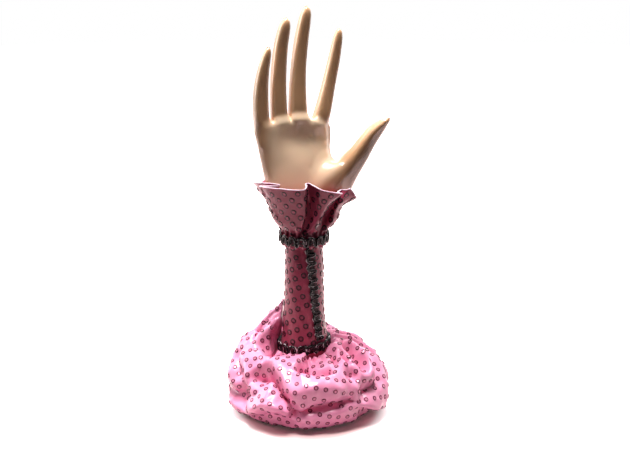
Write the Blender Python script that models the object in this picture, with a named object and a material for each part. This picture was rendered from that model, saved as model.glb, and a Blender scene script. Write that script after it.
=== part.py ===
"""Hand-shaped jewellery stand: a cast hand on its forearm, dressed in dotted satin, on a round board.

The forearm stands on the board and is held by one screw from below. A satin sleeve covers the
forearm, a pleated cuff flares round the wrist, and a crumpled satin puff hides the board and its
wadding. Gimp braid covers the cuff's gathers, the sleeve's seam and its hem.

Lengths are in metres, +Z is up, and the origin is the centre of the board's underside. The palm
faces -Y. An azimuth is measured from the front, -Y, and grows towards +X.
"""

import math
from dataclasses import dataclass

import bmesh
import bpy
import numpy as np
from mathutils import Vector
from mathutils.geometry import delaunay_2d_cdt

MM = 0.001

# Fits
SEAT_GAP = 0.3 * MM
CLOTH_WALL = 0.8 * MM

# Felt pad, board and screw
FELT_THICKNESS = 1.2 * MM
FELT_INSET = 1.0 * MM
BOARD_RADIUS = 54.0 * MM
BOARD_THICKNESS = 8.0 * MM
BOARD_EDGE_ROUND = 1.5 * MM
BOARD_SIDES = 48
SCREW_SHANK_RADIUS = 2.0 * MM
SCREW_HEAD_RADIUS = 4.2 * MM
SCREW_HEAD_DEPTH = 2.4 * MM
SCREW_BITE = 18.0 * MM
SCREW_POINT = 4.0 * MM
SCREW_SIDES = 16

# Stem: the forearm in its sleeve. Radii are over the cloth.
WRIST_Z = 158.0 * MM
STEM_WRIST_RADIUS = 17.2 * MM
STEM_WRIST_TAPER_END = 8.0 * MM
STEM_MIDDLE_Z = 98.0 * MM
STEM_MIDDLE_RADIUS = 18.2 * MM
STEM_CALF_Z = 78.0 * MM
STEM_CALF_RADIUS = 19.5 * MM
STEM_FOOT_RADIUS = 23.0 * MM
STEM_SIDES = 40
STEM_LEVELS = 9
SLEEVE_HEM_Z = 46.0 * MM
SLEEVE_END_OVER_WRIST = 2.0 * MM

# Hand
HAND_TURN = math.radians(20.0)
PALM_SQUARENESS = 2.4
HAND_VOXEL = 1.5 * MM
HAND_SMOOTHING = 8
HAND_KEPT_SHARE = 0.07
FOREARM_END_OVER_WRIST = 8.0 * MM
PALM_ROOT_INSET = 1.0 * MM

# Wrist braid, hem braid and seam braid
BRAID_WIDTH = 10.5 * MM
BRAID_PITCH = 8.0 * MM
BRAID_CORD_WIDTH = 2.7 * MM
BRAID_THICKNESS = 1.8 * MM
BRAID_LOOP_LEAN = 0.55 * MM
BRAID_STEPS_PER_LOOP = 8
BRAID_END_GAP = 1.0 * MM
WRIST_BRAID_UNDER_WRIST = 1.0 * MM
WRIST_BRAID_DIP = 0.6 * MM
HEM_BRAID_RISE = 4.0 * MM
HEM_BRAID_RISE_AZIMUTH = math.radians(110.0)
SEAM_TOP_AZIMUTH = math.radians(17.0)
SEAM_FOOT_AZIMUTH = math.radians(40.0)

# Cuff
CUFF_SKIRT = 1.2 * MM
CUFF_FLARE_ROWS = 6
CUFF_FLARE_POWER = 0.72
CUFF_COLUMNS = 80
CUFF_GATHER_DEPTH = 0.9 * MM
CUFF_GATHERS = 20

# Puff and the wadding that fills it
PUFF_COLUMNS = 68
PUFF_ROWS = 18
PUFF_NECK_LAP = 3.5 * MM
PUFF_OVERHANG = 15.0 * MM
PUFF_WIDEST_Z = 22.0 * MM
PUFF_UNDERSIDE_Z = 3.0 * MM
PUFF_EDGE_Z = 6.0 * MM
PUFF_EDGE_INSET = 3.5 * MM
PUFF_LOWEST_Z = 1.2 * MM
PUFF_OFFSET_X = 3.5 * MM
PUFF_FACET_ASPECT = 1.7
PUFF_FLAT_SHARES = (-0.1, 0.0, 0.06, 0.93, 1.0, 1.1)
WADDING_MARGIN = 8.0 * MM
WADDING_SIDES = 32

# Heights that follow from the sizes above
BOARD_FLOOR_Z = FELT_THICKNESS + SEAT_GAP
BOARD_TOP_Z = BOARD_FLOOR_Z + BOARD_THICKNESS
PUFF_NECK_Z = SLEEVE_HEM_Z + PUFF_NECK_LAP
PUFF_RADIUS = BOARD_RADIUS + PUFF_OVERHANG
HEM_BRAID_Z = PUFF_NECK_Z + 2 * BRAID_END_GAP + BRAID_WIDTH / 2
WRIST_BRAID_Z = WRIST_Z - WRIST_BRAID_UNDER_WRIST
CUFF_FOOT_Z = WRIST_BRAID_Z - WRIST_BRAID_DIP - BRAID_WIDTH / 2 - CUFF_SKIRT
CUFF_FLARE_Z = WRIST_BRAID_Z + WRIST_BRAID_DIP + BRAID_WIDTH / 2 + SEAT_GAP


@dataclass
class Digit:
    """A finger or the thumb: the points its middle line passes through, with the radius at each."""

    line: tuple
    radii: tuple
    tip_round: float = 0.07


@dataclass
class PalmSection:
    """An oval slice of the palm: its height, the middle of its width, and its two half sizes."""

    z: float
    x: float
    half_width: float
    half_depth: float


@dataclass
class Mound:
    """A soft rise on the palm: its centre, its three half sizes and its lean towards +X."""

    centre: tuple
    half: tuple
    lean: float = 0.0


@dataclass
class Crease:
    """A ridge or a valley of the puff: the azimuth in degrees, the share of the way from neck to
    underside and the height in millimetres of each point along it, and how far it sags."""

    line: tuple
    sag: float = 0.0


def mm(*values):
    return tuple(v * MM for v in values)


# Points of the hand and the cuff: x and y from the stem's axis, z above the wrist.
DIGITS = {
    "little": Digit(
        (mm(-31, -12, 82), mm(-35.2, -13.5, 101), mm(-36, -15, 123), mm(-34, -18, 145), mm(-29.3, -21, 166)),
        mm(7.8, 6.7, 6.2, 4.9, 2.9),
    ),
    "ring": Digit(
        (mm(-19, -7, 86), mm(-21.1, -7.6, 112), mm(-21.2, -8.2, 139), mm(-19.4, -10, 166), mm(-15.3, -13, 189.5)),
        mm(8.3, 6.8, 6.4, 5.8, 4.5),
    ),
    "middle": Digit(
        (mm(-4, -1.5, 87), mm(-5.3, -1.5, 115), mm(-4.7, -1.5, 143), mm(-2.1, -2.5, 171), mm(2.3, -5, 199)),
        mm(9.0, 7.4, 6.4, 5.8, 4.9),
    ),
    "index": Digit(
        (mm(10, 3.6, 85), mm(16.1, 6, 108), mm(21.3, 8, 131.5), mm(25.5, 8, 154), mm(28.9, 6.5, 176)),
        mm(8.2, 6.7, 5.7, 5.1, 4.0),
    ),
    "thumb": Digit(
        (
            mm(6, 3, 16), mm(15.5, 4, 29), mm(25.5, 3.5, 42), mm(35.2, 2.5, 55.5), mm(46, 2, 69.5),
            mm(54.7, 2, 83), mm(62, 1, 93), mm(72.3, -2, 103),
        ),
        mm(8, 12.6, 12.8, 10.4, 7.9, 6.6, 5.6, 3.0),
        0.12,
    ),
}
DIGIT_RINGS = 22
DIGIT_SIDES = 20

PALM = (
    PalmSection(13 * MM, 0.5 * MM, 17.6 * MM, 15.0 * MM),
    PalmSection(22 * MM, 0.5 * MM, 22.0 * MM, 14.5 * MM),
    PalmSection(32 * MM, -1 * MM, 27.8 * MM, 14.0 * MM),
    PalmSection(45 * MM, -2.5 * MM, 31.3 * MM, 13.5 * MM),
    PalmSection(62 * MM, -6 * MM, 31.2 * MM, 12.5 * MM),
    PalmSection(80 * MM, -9 * MM, 31.6 * MM, 11.3 * MM),
    PalmSection(94 * MM, -10.5 * MM, 33.4 * MM, 9.8 * MM),
    PalmSection(102 * MM, -10.8 * MM, 32.0 * MM, 7.0 * MM),
)
PALM_SIDES = 40
PALM_ROOT_HEIGHTS = (-6 * MM, 5 * MM)

MOUNDS = (
    Mound(mm(17, -7, 46), mm(13, 8, 22), math.radians(30)),
    Mound(mm(-20, -13, 52), mm(12, 7, 27), math.radians(-8)),
    Mound(mm(-30, -16, 89), mm(8, 4.2, 13)),
    Mound(mm(-19, -12, 94), mm(9, 4.2, 14)),
    Mound(mm(-4, -7, 96), mm(9.5, 4.2, 14)),
    Mound(mm(10, -1.5, 91), mm(9, 4.2, 14)),
)

# The cuff's rim, in the order of the cloth: azimuth in degrees, radius, and height above the
# wrist. Where the azimuth turns back, the cloth folds behind itself.
CUFF_RIM = (
    (-100, 42, 45), (-76, 41, 46), (-60, 41.5, 48), (-46, 39.5, 49), (-30, 37.5, 49), (-14, 35.5, 48.5),
    (0, 35.5, 48), (2, 31, 48.5), (0, 26, 50), (10, 26, 52), (25, 30, 49), (40, 37, 45.5),
    (51, 43, 44), (56, 42, 43.5), (59, 38, 43), (68, 40, 43), (77, 44.5, 42), (86, 48, 38),
    (100, 45, 41), (117, 40, 45), (138, 37, 47), (157, 33, 48), (172, 29.5, 48), (188, 33, 47),
    (206, 36, 46), (222, 33, 47), (238, 37, 48), (249, 42, 48),
)

# The crest of the puff round the stem: azimuth in degrees, and height above the puff's neck
PUFF_CRESTS = (
    (-150, 8.5), (-115, 10.5), (-85, 8.5), (-55, 3.5), (-25, -1.5), (0, -3.5), (30, -1.5), (60, 3.5),
    (95, 7.5), (140, 8.5), (180, 7.5),
)

CREASES = (
    # The flap that stands against the stem on the left, and the dark hollow beside it
    Crease(((-104, 0.12, 35), (-94, 0.15, 29), (-85, 0.22, 20), (-76, 0.29, 13), (-69, 0.33, 9)), -4),
    Crease(((-92, 0.08, 3), (-76, 0.13, -3), (-62, 0.18, -6), (-50, 0.20, -5))),
    Crease(((-69, 0.33, 9), (-58, 0.32, 6), (-49, 0.33, 5))),
    Crease(((-54, 0.25, -3), (-42, 0.17, -5), (-36, 0.10, -3))),
    # The thin fold left of the front, and the pocket under it
    Crease(((-46, 0.39, 5), (-40, 0.34, 7), (-35, 0.29, 7), (-28, 0.15, 4)), 1),
    Crease(((-47, 0.45, -5), (-43, 0.42, -8), (-38, 0.41, -7))),
    # The pleats of the left flank
    Crease(((-75, 0.34, 8), (-75, 0.38, 8), (-74, 0.42, 9))),
    Crease(((-68, 0.43, 8), (-59, 0.45, 8), (-52, 0.48, 7), (-49, 0.51, 4))),
    Crease(((-76, 0.44, 3), (-66, 0.475, 1), (-57, 0.51, 0))),
    Crease(((-81, 0.47, 9), (-72, 0.51, 9), (-66, 0.55, 6))),
    Crease(((-79, 0.62, 1), (-66, 0.60, -2), (-56, 0.56, -3))),
    Crease(((-66, 0.67, 5), (-58, 0.69, 5), (-53, 0.71, 4)), 1),
    Crease(((-50, 0.55, -3), (-52, 0.60, -4), (-56, 0.65, -3))),
    # The arch low on the left
    Crease(((-30, 0.45, 2), (-36, 0.51, 3), (-40, 0.56, 3), (-44, 0.62, 4))),
    Crease((
        (-48, 0.71, 4), (-41, 0.64, 6), (-35, 0.60, 8), (-31, 0.57, 9), (-24, 0.57, 9), (-18, 0.575, 8),
        (-13, 0.60, 6),
    ), 2),
    Crease(((-52, 0.80, 0), (-39, 0.73, -1), (-30, 0.68, -1), (-20, 0.68, -1), (-13, 0.69, 0)), -1),
    Crease(((-28, 0.46, 2), (-23, 0.50, 1), (-18, 0.53, -1), (-14, 0.56, -2))),
    # The long fold that falls from the front corner, with the valley on its left
    Crease(((-36, 0.37, -6), (-30, 0.42, -6), (-23, 0.48, -6), (-17, 0.53, -6), (-10, 0.61, -5))),
    Crease(((-33, 0.35, 8), (-25, 0.41, 9), (-19, 0.45, 9), (-14, 0.48, 9), (-9, 0.52, 9), (-5, 0.55, 6))),
    Crease(((-33, 0.35, 8), (-25, 0.29, 8), (-13, 0.23, 8), (1, 0.15, 6))),
    # The pocket in front and its rim
    Crease(((1, 0.15, 6), (-8, 0.29, 8), (-12, 0.37, 8), (-12, 0.42, 8))),
    Crease(((-5, 0.31, -7), (2, 0.28, -9), (8, 0.32, -8), (14, 0.36, -6), (20, 0.375, -4))),
    Crease(((6, 0.16, -3), (11, 0.25, 0), (15, 0.31, 2), (19, 0.33, 3), (23, 0.28, 3), (26, 0.19, 2))),
    Crease(((-12, 0.42, 8), (-6, 0.41, 9), (4, 0.42, 10), (14, 0.43, 10), (23, 0.42, 8), (28, 0.42, 8))),
    # The big pillow in front, its lower edge and the skirt under it
    Crease(((-4, 0.48, 11), (7, 0.475, 12), (16, 0.48, 12), (25, 0.49, 9), (31, 0.51, 5)), 2),
    Crease(((-3, 0.57, 4), (4, 0.55, 4), (10, 0.54, 4), (20, 0.53, 3), (30, 0.53, 1)), 1),
    Crease(((-6, 0.62, -2), (2, 0.60, -3), (11, 0.58, -3), (20, 0.57, -3), (31, 0.56, -2)), -2),
    Crease(((-5, 0.68, 3), (5, 0.66, 3), (15, 0.64, 3), (26, 0.62, 3), (35, 0.60, 3))),
    # The folds right of the front
    Crease(((33, 0.18, 4), (30, 0.27, 5), (27, 0.35, 5))),
    Crease(((41, 0.20, -2), (35, 0.28, -1), (31, 0.33, 1))),
    Crease((
        (60, 0.12, 7), (50, 0.22, 8), (39, 0.30, 8), (33, 0.36, 8), (28, 0.42, 8), (29, 0.46, 8),
        (32, 0.49, 8), (36, 0.50, 8), (40, 0.48, 9), (43, 0.46, 10),
    )),
    Crease(((68, 0.16, 8), (54, 0.26, 9), (47, 0.33, 9), (44, 0.39, 9), (43, 0.46, 10))),
    Crease(((43, 0.46, 10), (48, 0.48, 11), (52, 0.48, 12))),
    Crease(((34, 0.385, 8), (38, 0.385, 8), (41, 0.40, 8))),
    Crease(((43, 0.33, 1), (42, 0.35, 1))),
    Crease(((36, 0.43, 2), (39, 0.44, 2))),
    Crease(((68, 0.20, 1), (60, 0.26, -2), (55, 0.33, -4), (51, 0.40, -3), (50, 0.44, 0))),
    Crease((
        (95, 0.10, 8), (84, 0.17, 10), (73, 0.26, 12), (65, 0.33, 12), (60, 0.39, 12), (56, 0.44, 12),
        (52, 0.48, 12),
    )),
    Crease(((86, 0.28, 2), (76, 0.35, 1), (69, 0.42, 1), (64, 0.47, 2))),
    Crease(((96, 0.30, 8), (88, 0.37, 8), (80, 0.44, 8), (74, 0.50, 7), (70, 0.54, 6), (69, 0.59, 5))),
    Crease(((60, 0.51, 1), (52, 0.52, -2), (43, 0.53, -2))),
    Crease(((60, 0.56, 5), (52, 0.57, 5), (46, 0.57, 4))),
    Crease(((37, 0.57, 3), (42, 0.61, 5), (54, 0.68, 5), (64, 0.72, 5)), 2),
    Crease(((43, 0.66, -3), (53, 0.73, -5), (62, 0.77, -5)), -2),
    # Folds round the back
    Crease(((104, 0.22, -2), (100, 0.36, -3), (92, 0.48, -3), (88, 0.58, -2))),
    Crease(((118, 0.14, 9), (112, 0.28, 10), (104, 0.42, 9), (100, 0.55, 6))),
    Crease(((128, 0.18, -3), (124, 0.33, -4), (116, 0.46, -4), (112, 0.58, -2))),
    Crease(((140, 0.12, 8), (138, 0.26, 10), (130, 0.40, 10), (128, 0.50, 8), (120, 0.62, 4))),
    Crease(((150, 0.20, -3), (148, 0.34, -5), (140, 0.47, -4), (138, 0.58, -2))),
    Crease(((160, 0.14, 9), (164, 0.28, 10), (158, 0.41, 9), (150, 0.52, 8), (150, 0.62, 4))),
    Crease(((176, 0.18, -3), (178, 0.32, -5), (170, 0.45, -4), (166, 0.57, -2))),
    Crease(((190, 0.12, 8), (192, 0.26, 11), (196, 0.38, 10), (186, 0.50, 8), (182, 0.62, 4))),
    Crease(((206, 0.20, -4), (208, 0.34, -5), (204, 0.47, -3), (200, 0.58, -2))),
    Crease(((216, 0.12, 9), (222, 0.25, 10), (220, 0.39, 10), (216, 0.51, 8), (218, 0.63, 4))),
    Crease(((232, 0.18, -3), (236, 0.31, -5), (234, 0.45, -4), (232, 0.57, -2))),
    Crease(((240, 0.12, 10), (248, 0.22, 11), (252, 0.35, 10), (248, 0.48, 9), (250, 0.62, 4))),
    Crease(((257, 0.20, 0), (262, 0.32, -1), (264, 0.44, -3), (262, 0.56, -1))),
    Crease(((267, 0.23, 12), (271, 0.33, 11), (275, 0.42, 9))),
)


def clear_scene():
    for obj in list(bpy.data.objects):
        bpy.data.objects.remove(obj)


def material(name, colour, roughness, metallic=0.0):
    made = bpy.data.materials.new(name)
    made.use_nodes = True
    shader = made.node_tree.nodes["Principled BSDF"]
    shader.inputs["Base Color"].default_value = (*colour, 1.0)
    shader.inputs["Roughness"].default_value = roughness
    shader.inputs["Metallic"].default_value = metallic
    return made


def add_object(name, bm, finish):
    mesh = bpy.data.meshes.new(name)
    bm.to_mesh(mesh)
    bm.free()
    mesh.shade_smooth()
    obj = bpy.data.objects.new(name, mesh)
    bpy.context.scene.collection.objects.link(obj)
    mesh.materials.append(finish)
    return obj


def add_helper(name, bm):
    obj = add_object(name, bm, bpy.data.materials["helper"])
    obj.hide_render = True
    obj.display_type = "WIRE"
    return obj


def smooth_step(value):
    x = min(1.0, max(0.0, value))
    return x * x * (3 - 2 * x)


def through_points(points, share, closed=False):
    """A point on the smooth curve that passes through the given points at even shares."""
    rows = np.asarray(points, float)
    count = len(rows)
    spans = count if closed else count - 1
    place = share * spans
    first = int(np.floor(place)) if closed else min(spans - 1, max(0, int(np.floor(place))))
    f = place - first

    def row(index):
        return rows[index % count] if closed else rows[min(count - 1, max(0, index))]

    before, start, end, after = row(first - 1), row(first), row(first + 1), row(first + 2)
    return 0.5 * (
        2 * start
        + (end - before) * f
        + (2 * before - 5 * start + 4 * end - after) * f**2
        + (3 * start - before - 3 * end + after) * f**3
    )


def at_azimuth(azimuth, radius, z):
    return Vector((radius * math.sin(azimuth), -radius * math.cos(azimuth), z))


def add_loft(bm, rings, closed_path=False):
    """Joins rings of points into a skin. An open path gets a flat cap on each end."""
    loops = [[bm.verts.new(point) for point in ring] for ring in rings]
    sides = len(loops[0])
    spans = len(loops) if closed_path else len(loops) - 1
    for i in range(spans):
        near, far = loops[i], loops[(i + 1) % len(loops)]
        for k in range(sides):
            after = (k + 1) % sides
            bm.faces.new((near[k], near[after], far[after], far[k]))
    if not closed_path:
        bm.faces.new(reversed(loops[0]))
        bm.faces.new(loops[-1])


def turned(profile, sides, closed_profile=False):
    """A mesh turned round Z from (radius, height) points. A point on the axis makes a pole."""
    bm = bmesh.new()
    rows = []
    for radius, z in profile:
        if radius == 0:
            rows.append([bm.verts.new((0, 0, z))])
            continue
        rows.append([bm.verts.new(at_azimuth(math.tau * k / sides, radius, z)) for k in range(sides)])
    spans = len(rows) if closed_profile else len(rows) - 1
    for i in range(spans):
        low, high = rows[i], rows[(i + 1) % len(rows)]
        for k in range(sides):
            after = (k + 1) % sides
            if len(low) == 1:
                bm.faces.new((low[0], high[after], high[k]))
            elif len(high) == 1:
                bm.faces.new((low[k], low[after], high[0]))
            else:
                bm.faces.new((low[k], low[after], high[after], high[k]))
    bmesh.ops.recalc_face_normals(bm, faces=bm.faces)
    return bm


def even_heights(low, high, count):
    return [low + (high - low) * k / (count - 1) for k in range(count)]


def stem_profile():
    """The sleeve's outline, as heights and radii, eased between the stem's named sizes."""
    named = (
        (SLEEVE_HEM_Z, STEM_FOOT_RADIUS),
        (STEM_CALF_Z, STEM_CALF_RADIUS),
        (STEM_MIDDLE_Z, STEM_MIDDLE_RADIUS),
        (WRIST_Z - STEM_WRIST_TAPER_END, STEM_WRIST_RADIUS),
        (WRIST_Z + SLEEVE_END_OVER_WRIST, STEM_WRIST_RADIUS),
    )
    heights = even_heights(SLEEVE_HEM_Z, WRIST_Z + SLEEVE_END_OVER_WRIST, STEM_LEVELS)
    radii = []
    for z in heights:
        (z0, r0), (z1, r1) = next(pair for pair in zip(named, named[1:]) if z <= pair[1][0] + 1e-9)
        radii.append(r0 + (r1 - r0) * smooth_step((z - z0) / (z1 - z0)))
    return heights, radii


def stem_radius(z):
    """The stem's radius over the sleeve at this height."""
    return float(np.interp(z, *stem_profile()))


def forearm_radius(z):
    return stem_radius(z) - CLOTH_WALL - SEAT_GAP


def build_felt(finish):
    """The felt pad under the board, which hides the screw."""
    radius = BOARD_RADIUS - BOARD_EDGE_ROUND - FELT_INSET
    profile = [(0, 0), (radius, 0), (radius, FELT_THICKNESS), (0, FELT_THICKNESS)]
    return add_object("felt_pad", turned(profile, BOARD_SIDES), finish)


def build_board(finish):
    """The round board, with a countersunk hole for the screw."""
    hole = SCREW_SHANK_RADIUS + SEAT_GAP
    sink = SCREW_HEAD_RADIUS + SEAT_GAP
    low, high = BOARD_FLOOR_Z, BOARD_TOP_Z
    profile = [
        (sink, low),
        (BOARD_RADIUS - BOARD_EDGE_ROUND, low),
        (BOARD_RADIUS, low + BOARD_EDGE_ROUND),
        (BOARD_RADIUS, high - BOARD_EDGE_ROUND),
        (BOARD_RADIUS - BOARD_EDGE_ROUND, high),
        (hole, high),
        (hole, low + SCREW_HEAD_DEPTH + SEAT_GAP),
    ]
    return add_object("base_board", turned(profile, BOARD_SIDES, closed_profile=True), finish)


def build_screw(finish):
    """The wood screw that holds the forearm on the board, its head sunk in the underside."""
    head = BOARD_FLOOR_Z
    top = BOARD_TOP_Z + SCREW_BITE
    profile = [
        (0, head),
        (SCREW_HEAD_RADIUS, head),
        (SCREW_SHANK_RADIUS, head + SCREW_HEAD_DEPTH),
        (SCREW_SHANK_RADIUS, top - SCREW_POINT),
        (0, top),
    ]
    return add_object("base_screw", turned(profile, SCREW_SIDES), finish)


def forearm_helper():
    """The forearm as turned, with the pilot hole for the screw in its foot."""
    foot = BOARD_TOP_Z + SEAT_GAP
    head = WRIST_Z + FOREARM_END_OVER_WRIST
    pilot = SCREW_SHANK_RADIUS + SEAT_GAP
    pilot_end = BOARD_TOP_Z + SCREW_BITE + SEAT_GAP
    levels = [foot, *stem_profile()[0], head]
    profile = [(0, pilot_end), (pilot, pilot_end), (pilot, foot)]
    profile += [(forearm_radius(z), z) for z in levels]
    profile.append((0, head))
    return add_helper("forearm_core", turned(profile, STEM_SIDES))


def digit_rings(digit):
    """Oval rings along a digit, closing to a round tip."""
    across = Vector((math.cos(HAND_TURN), math.sin(HAND_TURN), 0))
    rings = []
    for k in range(DIGIT_RINGS):
        t = 1 - (1 - k / (DIGIT_RINGS - 1)) ** 1.6
        t = min(t, 1 - 0.015 * digit.tip_round)
        before = Vector(through_points(digit.line, max(0, t - 0.02)))
        after = Vector(through_points(digit.line, min(1, t + 0.02)))
        along = (after - before).normalized()
        place = Vector(through_points(digit.line, t)) + Vector((0, 0, WRIST_Z))
        side = (across - along * across.dot(along)).normalized()
        out = along.cross(side)
        radius = float(through_points([(r,) for r in digit.radii], t)[0])
        over = max(0.0, (t - 1 + digit.tip_round) / digit.tip_round)
        radius *= math.sqrt(1 - over**2)
        rings.append([
            place
            + side * (radius * math.cos(math.tau * n / DIGIT_SIDES))
            + out * (radius * math.sin(math.tau * n / DIGIT_SIDES))
            for n in range(DIGIT_SIDES)
        ])
    return rings


def palm_rings():
    """Oval slices of the palm, turned with the hand, rooted inside the forearm."""
    across = Vector((math.cos(HAND_TURN), math.sin(HAND_TURN), 0))
    out = Vector((-math.sin(HAND_TURN), math.cos(HAND_TURN), 0))
    root = forearm_radius(WRIST_Z) - PALM_ROOT_INSET
    sections = [PalmSection(z, 0, root, root) for z in PALM_ROOT_HEIGHTS] + list(PALM)
    rings = []
    for section in sections:
        middle = Vector((section.x, section.x * math.tan(HAND_TURN), WRIST_Z + section.z))
        rooted = section.z in PALM_ROOT_HEIGHTS
        power = 1 if rooted else 2 / PALM_SQUARENESS
        ring = []
        for n in range(PALM_SIDES):
            angle = math.tau * n / PALM_SIDES
            c, s = math.cos(angle), math.sin(angle)
            ring.append(
                middle
                + across * (section.half_width * math.copysign(abs(c) ** power, c))
                + out * (section.half_depth * math.copysign(abs(s) ** power, s))
            )
        rings.append(ring)
    return rings


def add_mound(bm, mound):
    made = bmesh.ops.create_uvsphere(bm, u_segments=20, v_segments=12, radius=1.0)["verts"]
    bmesh.ops.scale(bm, verts=made, vec=mound.half)
    c, s = math.cos(mound.lean), math.sin(mound.lean)
    for vert in made:
        x, z = vert.co.x, vert.co.z
        vert.co = Vector((x * c + z * s, vert.co.y, z * c - x * s + WRIST_Z)) + Vector(mound.centre)


def build_hand(finish):
    """The cast hand and forearm, one piece: palm, mounds and digits melted together."""
    bm = bmesh.new()
    add_loft(bm, palm_rings())
    for digit in DIGITS.values():
        add_loft(bm, digit_rings(digit))
    for mound in MOUNDS:
        add_mound(bm, mound)
    bmesh.ops.recalc_face_normals(bm, faces=bm.faces)
    hand = add_object("hand", bm, finish)
    melt = hand.modifiers.new("melt", "REMESH")
    melt.mode = "VOXEL"
    melt.voxel_size = HAND_VOXEL
    fair = hand.modifiers.new("fair", "SMOOTH")
    fair.factor = 0.5
    fair.iterations = HAND_SMOOTHING
    thin = hand.modifiers.new("thin", "DECIMATE")
    thin.ratio = HAND_KEPT_SHARE
    join = hand.modifiers.new("forearm", "BOOLEAN")
    join.operation = "UNION"
    join.object = forearm_helper()
    return hand


def build_sleeve(finish):
    """The satin tube round the forearm."""
    outer = list(zip(*reversed(stem_profile())))
    inner = [(radius - CLOTH_WALL, z) for radius, z in reversed(outer)]
    return add_object("sleeve", turned(outer + inner, STEM_SIDES, closed_profile=True), finish)


def sheet_object(name, rows, finish):
    """A closed band of cloth from rows of points, given its thickness inwards."""
    bm = bmesh.new()
    loops = [[bm.verts.new(point) for point in row] for row in rows]
    count = len(loops[0])
    for low, high in zip(loops, loops[1:]):
        for k in range(count):
            after = (k + 1) % count
            bm.faces.new((low[k], low[after], high[after], high[k]))
    obj = add_object(name, bm, finish)
    wall = obj.modifiers.new("wall", "SOLIDIFY")
    wall.thickness = CLOTH_WALL
    wall.offset = -1
    wall.use_even_offset = False
    return obj


def cuff_foot_radius(azimuth):
    """The gathered foot of the cuff, which lies over the sleeve's top."""
    seat = stem_radius(CUFF_FOOT_Z) + SEAT_GAP + CLOTH_WALL
    return seat + CUFF_GATHER_DEPTH * (1 + math.cos(CUFF_GATHERS * azimuth))


def build_cuff(finish):
    """The pleated cuff: a band that flares from the gathered foot to the folded rim."""
    rim = [at_azimuth(math.radians(a), r * MM, WRIST_Z + z * MM) for a, r, z in CUFF_RIM]
    turns = [k / CUFF_COLUMNS for k in range(CUFF_COLUMNS)]
    azimuths = [math.radians(CUFF_RIM[0][0] + 360 * s) for s in turns]
    tops = [Vector(through_points(rim, s, closed=True)) for s in turns]
    feet = [at_azimuth(a, cuff_foot_radius(a), CUFF_FOOT_Z) for a in azimuths]
    bends = [at_azimuth(a, cuff_foot_radius(a), CUFF_FLARE_Z) for a in azimuths]
    rows = [feet]
    for i in range(CUFF_FLARE_ROWS):
        share = i / (CUFF_FLARE_ROWS - 1)
        opened = share**CUFF_FLARE_POWER
        row = []
        for bend, top in zip(bends, tops):
            point = bend.lerp(top, opened)
            point.z = bend.z + (top.z - bend.z) * share
            row.append(point)
        rows.append(row)
    return sheet_object("cuff", rows, finish)


def puff_crest(azimuth):
    """The crest's height above the neck at this azimuth, eased between its named heights."""
    degrees = (math.degrees(azimuth) + 150) % 360 - 150
    stops = [*PUFF_CRESTS, (PUFF_CRESTS[0][0] + 360, PUFF_CRESTS[0][1])]
    for (a0, z0), (a1, z1) in zip(stops, stops[1:]):
        if degrees <= a1:
            return (z0 + (z1 - z0) * smooth_step((degrees - a0) / (a1 - a0))) * MM
    return stops[-1][1] * MM


def puff_neck_radius():
    return stem_radius(PUFF_NECK_Z) + SEAT_GAP + CLOTH_WALL


def puff_point(azimuth, t):
    """A point on the puff before its folds: t is 0 at the neck and 1 under the board's edge."""
    crest = PUFF_NECK_Z + puff_crest(azimuth)
    neck, foot = puff_neck_radius(), BOARD_RADIUS + SEAT_GAP + CLOTH_WALL
    line = (
        (neck, PUFF_NECK_Z),
        (neck + 0.25 * (PUFF_RADIUS - neck), crest),
        (neck + 0.68 * (PUFF_RADIUS - neck), PUFF_WIDEST_Z + 0.72 * (crest - PUFF_WIDEST_Z)),
        (PUFF_RADIUS, PUFF_WIDEST_Z),
        (PUFF_RADIUS - PUFF_EDGE_INSET, PUFF_EDGE_Z),
        (foot, PUFF_UNDERSIDE_Z),
    )
    radius, z = through_points(line, t)
    place = at_azimuth(azimuth, radius, z)
    off_centre = smooth_step((radius - neck) / (PUFF_RADIUS - neck)) * smooth_step((1 - t) / 0.25)
    place.x += PUFF_OFFSET_X * off_centre
    return place


def puff_outward(azimuth, t):
    """The way a fold stands out: up near the neck, and outward on the flank."""
    swing = 0.5 * math.pi * smooth_step((t - 0.25) / 0.45)
    return at_azimuth(azimuth, math.sin(swing), math.cos(swing))


def crease_field(azimuths, shares):
    """Height and sag at each point of the puff: flat facets between the creases."""
    spots, values, edges = [], [], []

    def add(azimuth, share, height, sag):
        spots.append(Vector((azimuth / 60, share * PUFF_FACET_ASPECT)))
        values.append((height, sag))

    for turn in (-360, 0, 360):
        for crease in CREASES:
            for index, (azimuth, share, height) in enumerate(crease.line):
                add(azimuth + turn, share, height, crease.sag)
                if index:
                    edges.append((len(spots) - 2, len(spots) - 1))
    for share in PUFF_FLAT_SHARES:
        for azimuth in range(-540, 541, 20):
            add(azimuth, share, 0, 0)
    points, _, faces, sources, _, _ = delaunay_2d_cdt(spots, edges, [], 0, 1e-5)
    known = np.array([np.mean([values[i] for i in source], axis=0) if source else (0, 0) for source in sources])
    corners = np.array([point[:] for point in points])
    wanted = np.stack([np.degrees(azimuths) / 60, np.asarray(shares) * PUFF_FACET_ASPECT], axis=1)
    found = np.zeros((len(wanted), 2))
    for face in faces:
        a, b, c = corners[list(face)]
        area = (b[0] - a[0]) * (c[1] - a[1]) - (b[1] - a[1]) * (c[0] - a[0])
        if abs(area) < 1e-12:
            continue
        gap = wanted - a
        v = (gap[:, 0] * (c[1] - a[1]) - gap[:, 1] * (c[0] - a[0])) / area
        w = ((b[0] - a[0]) * gap[:, 1] - (b[1] - a[1]) * gap[:, 0]) / area
        inside = (v >= -1e-6) & (w >= -1e-6) & (v + w <= 1 + 1e-6)
        weights = np.stack([1 - v - w, v, w], axis=1)[inside]
        found[inside] = weights @ known[list(face)]
    return found * MM


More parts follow.
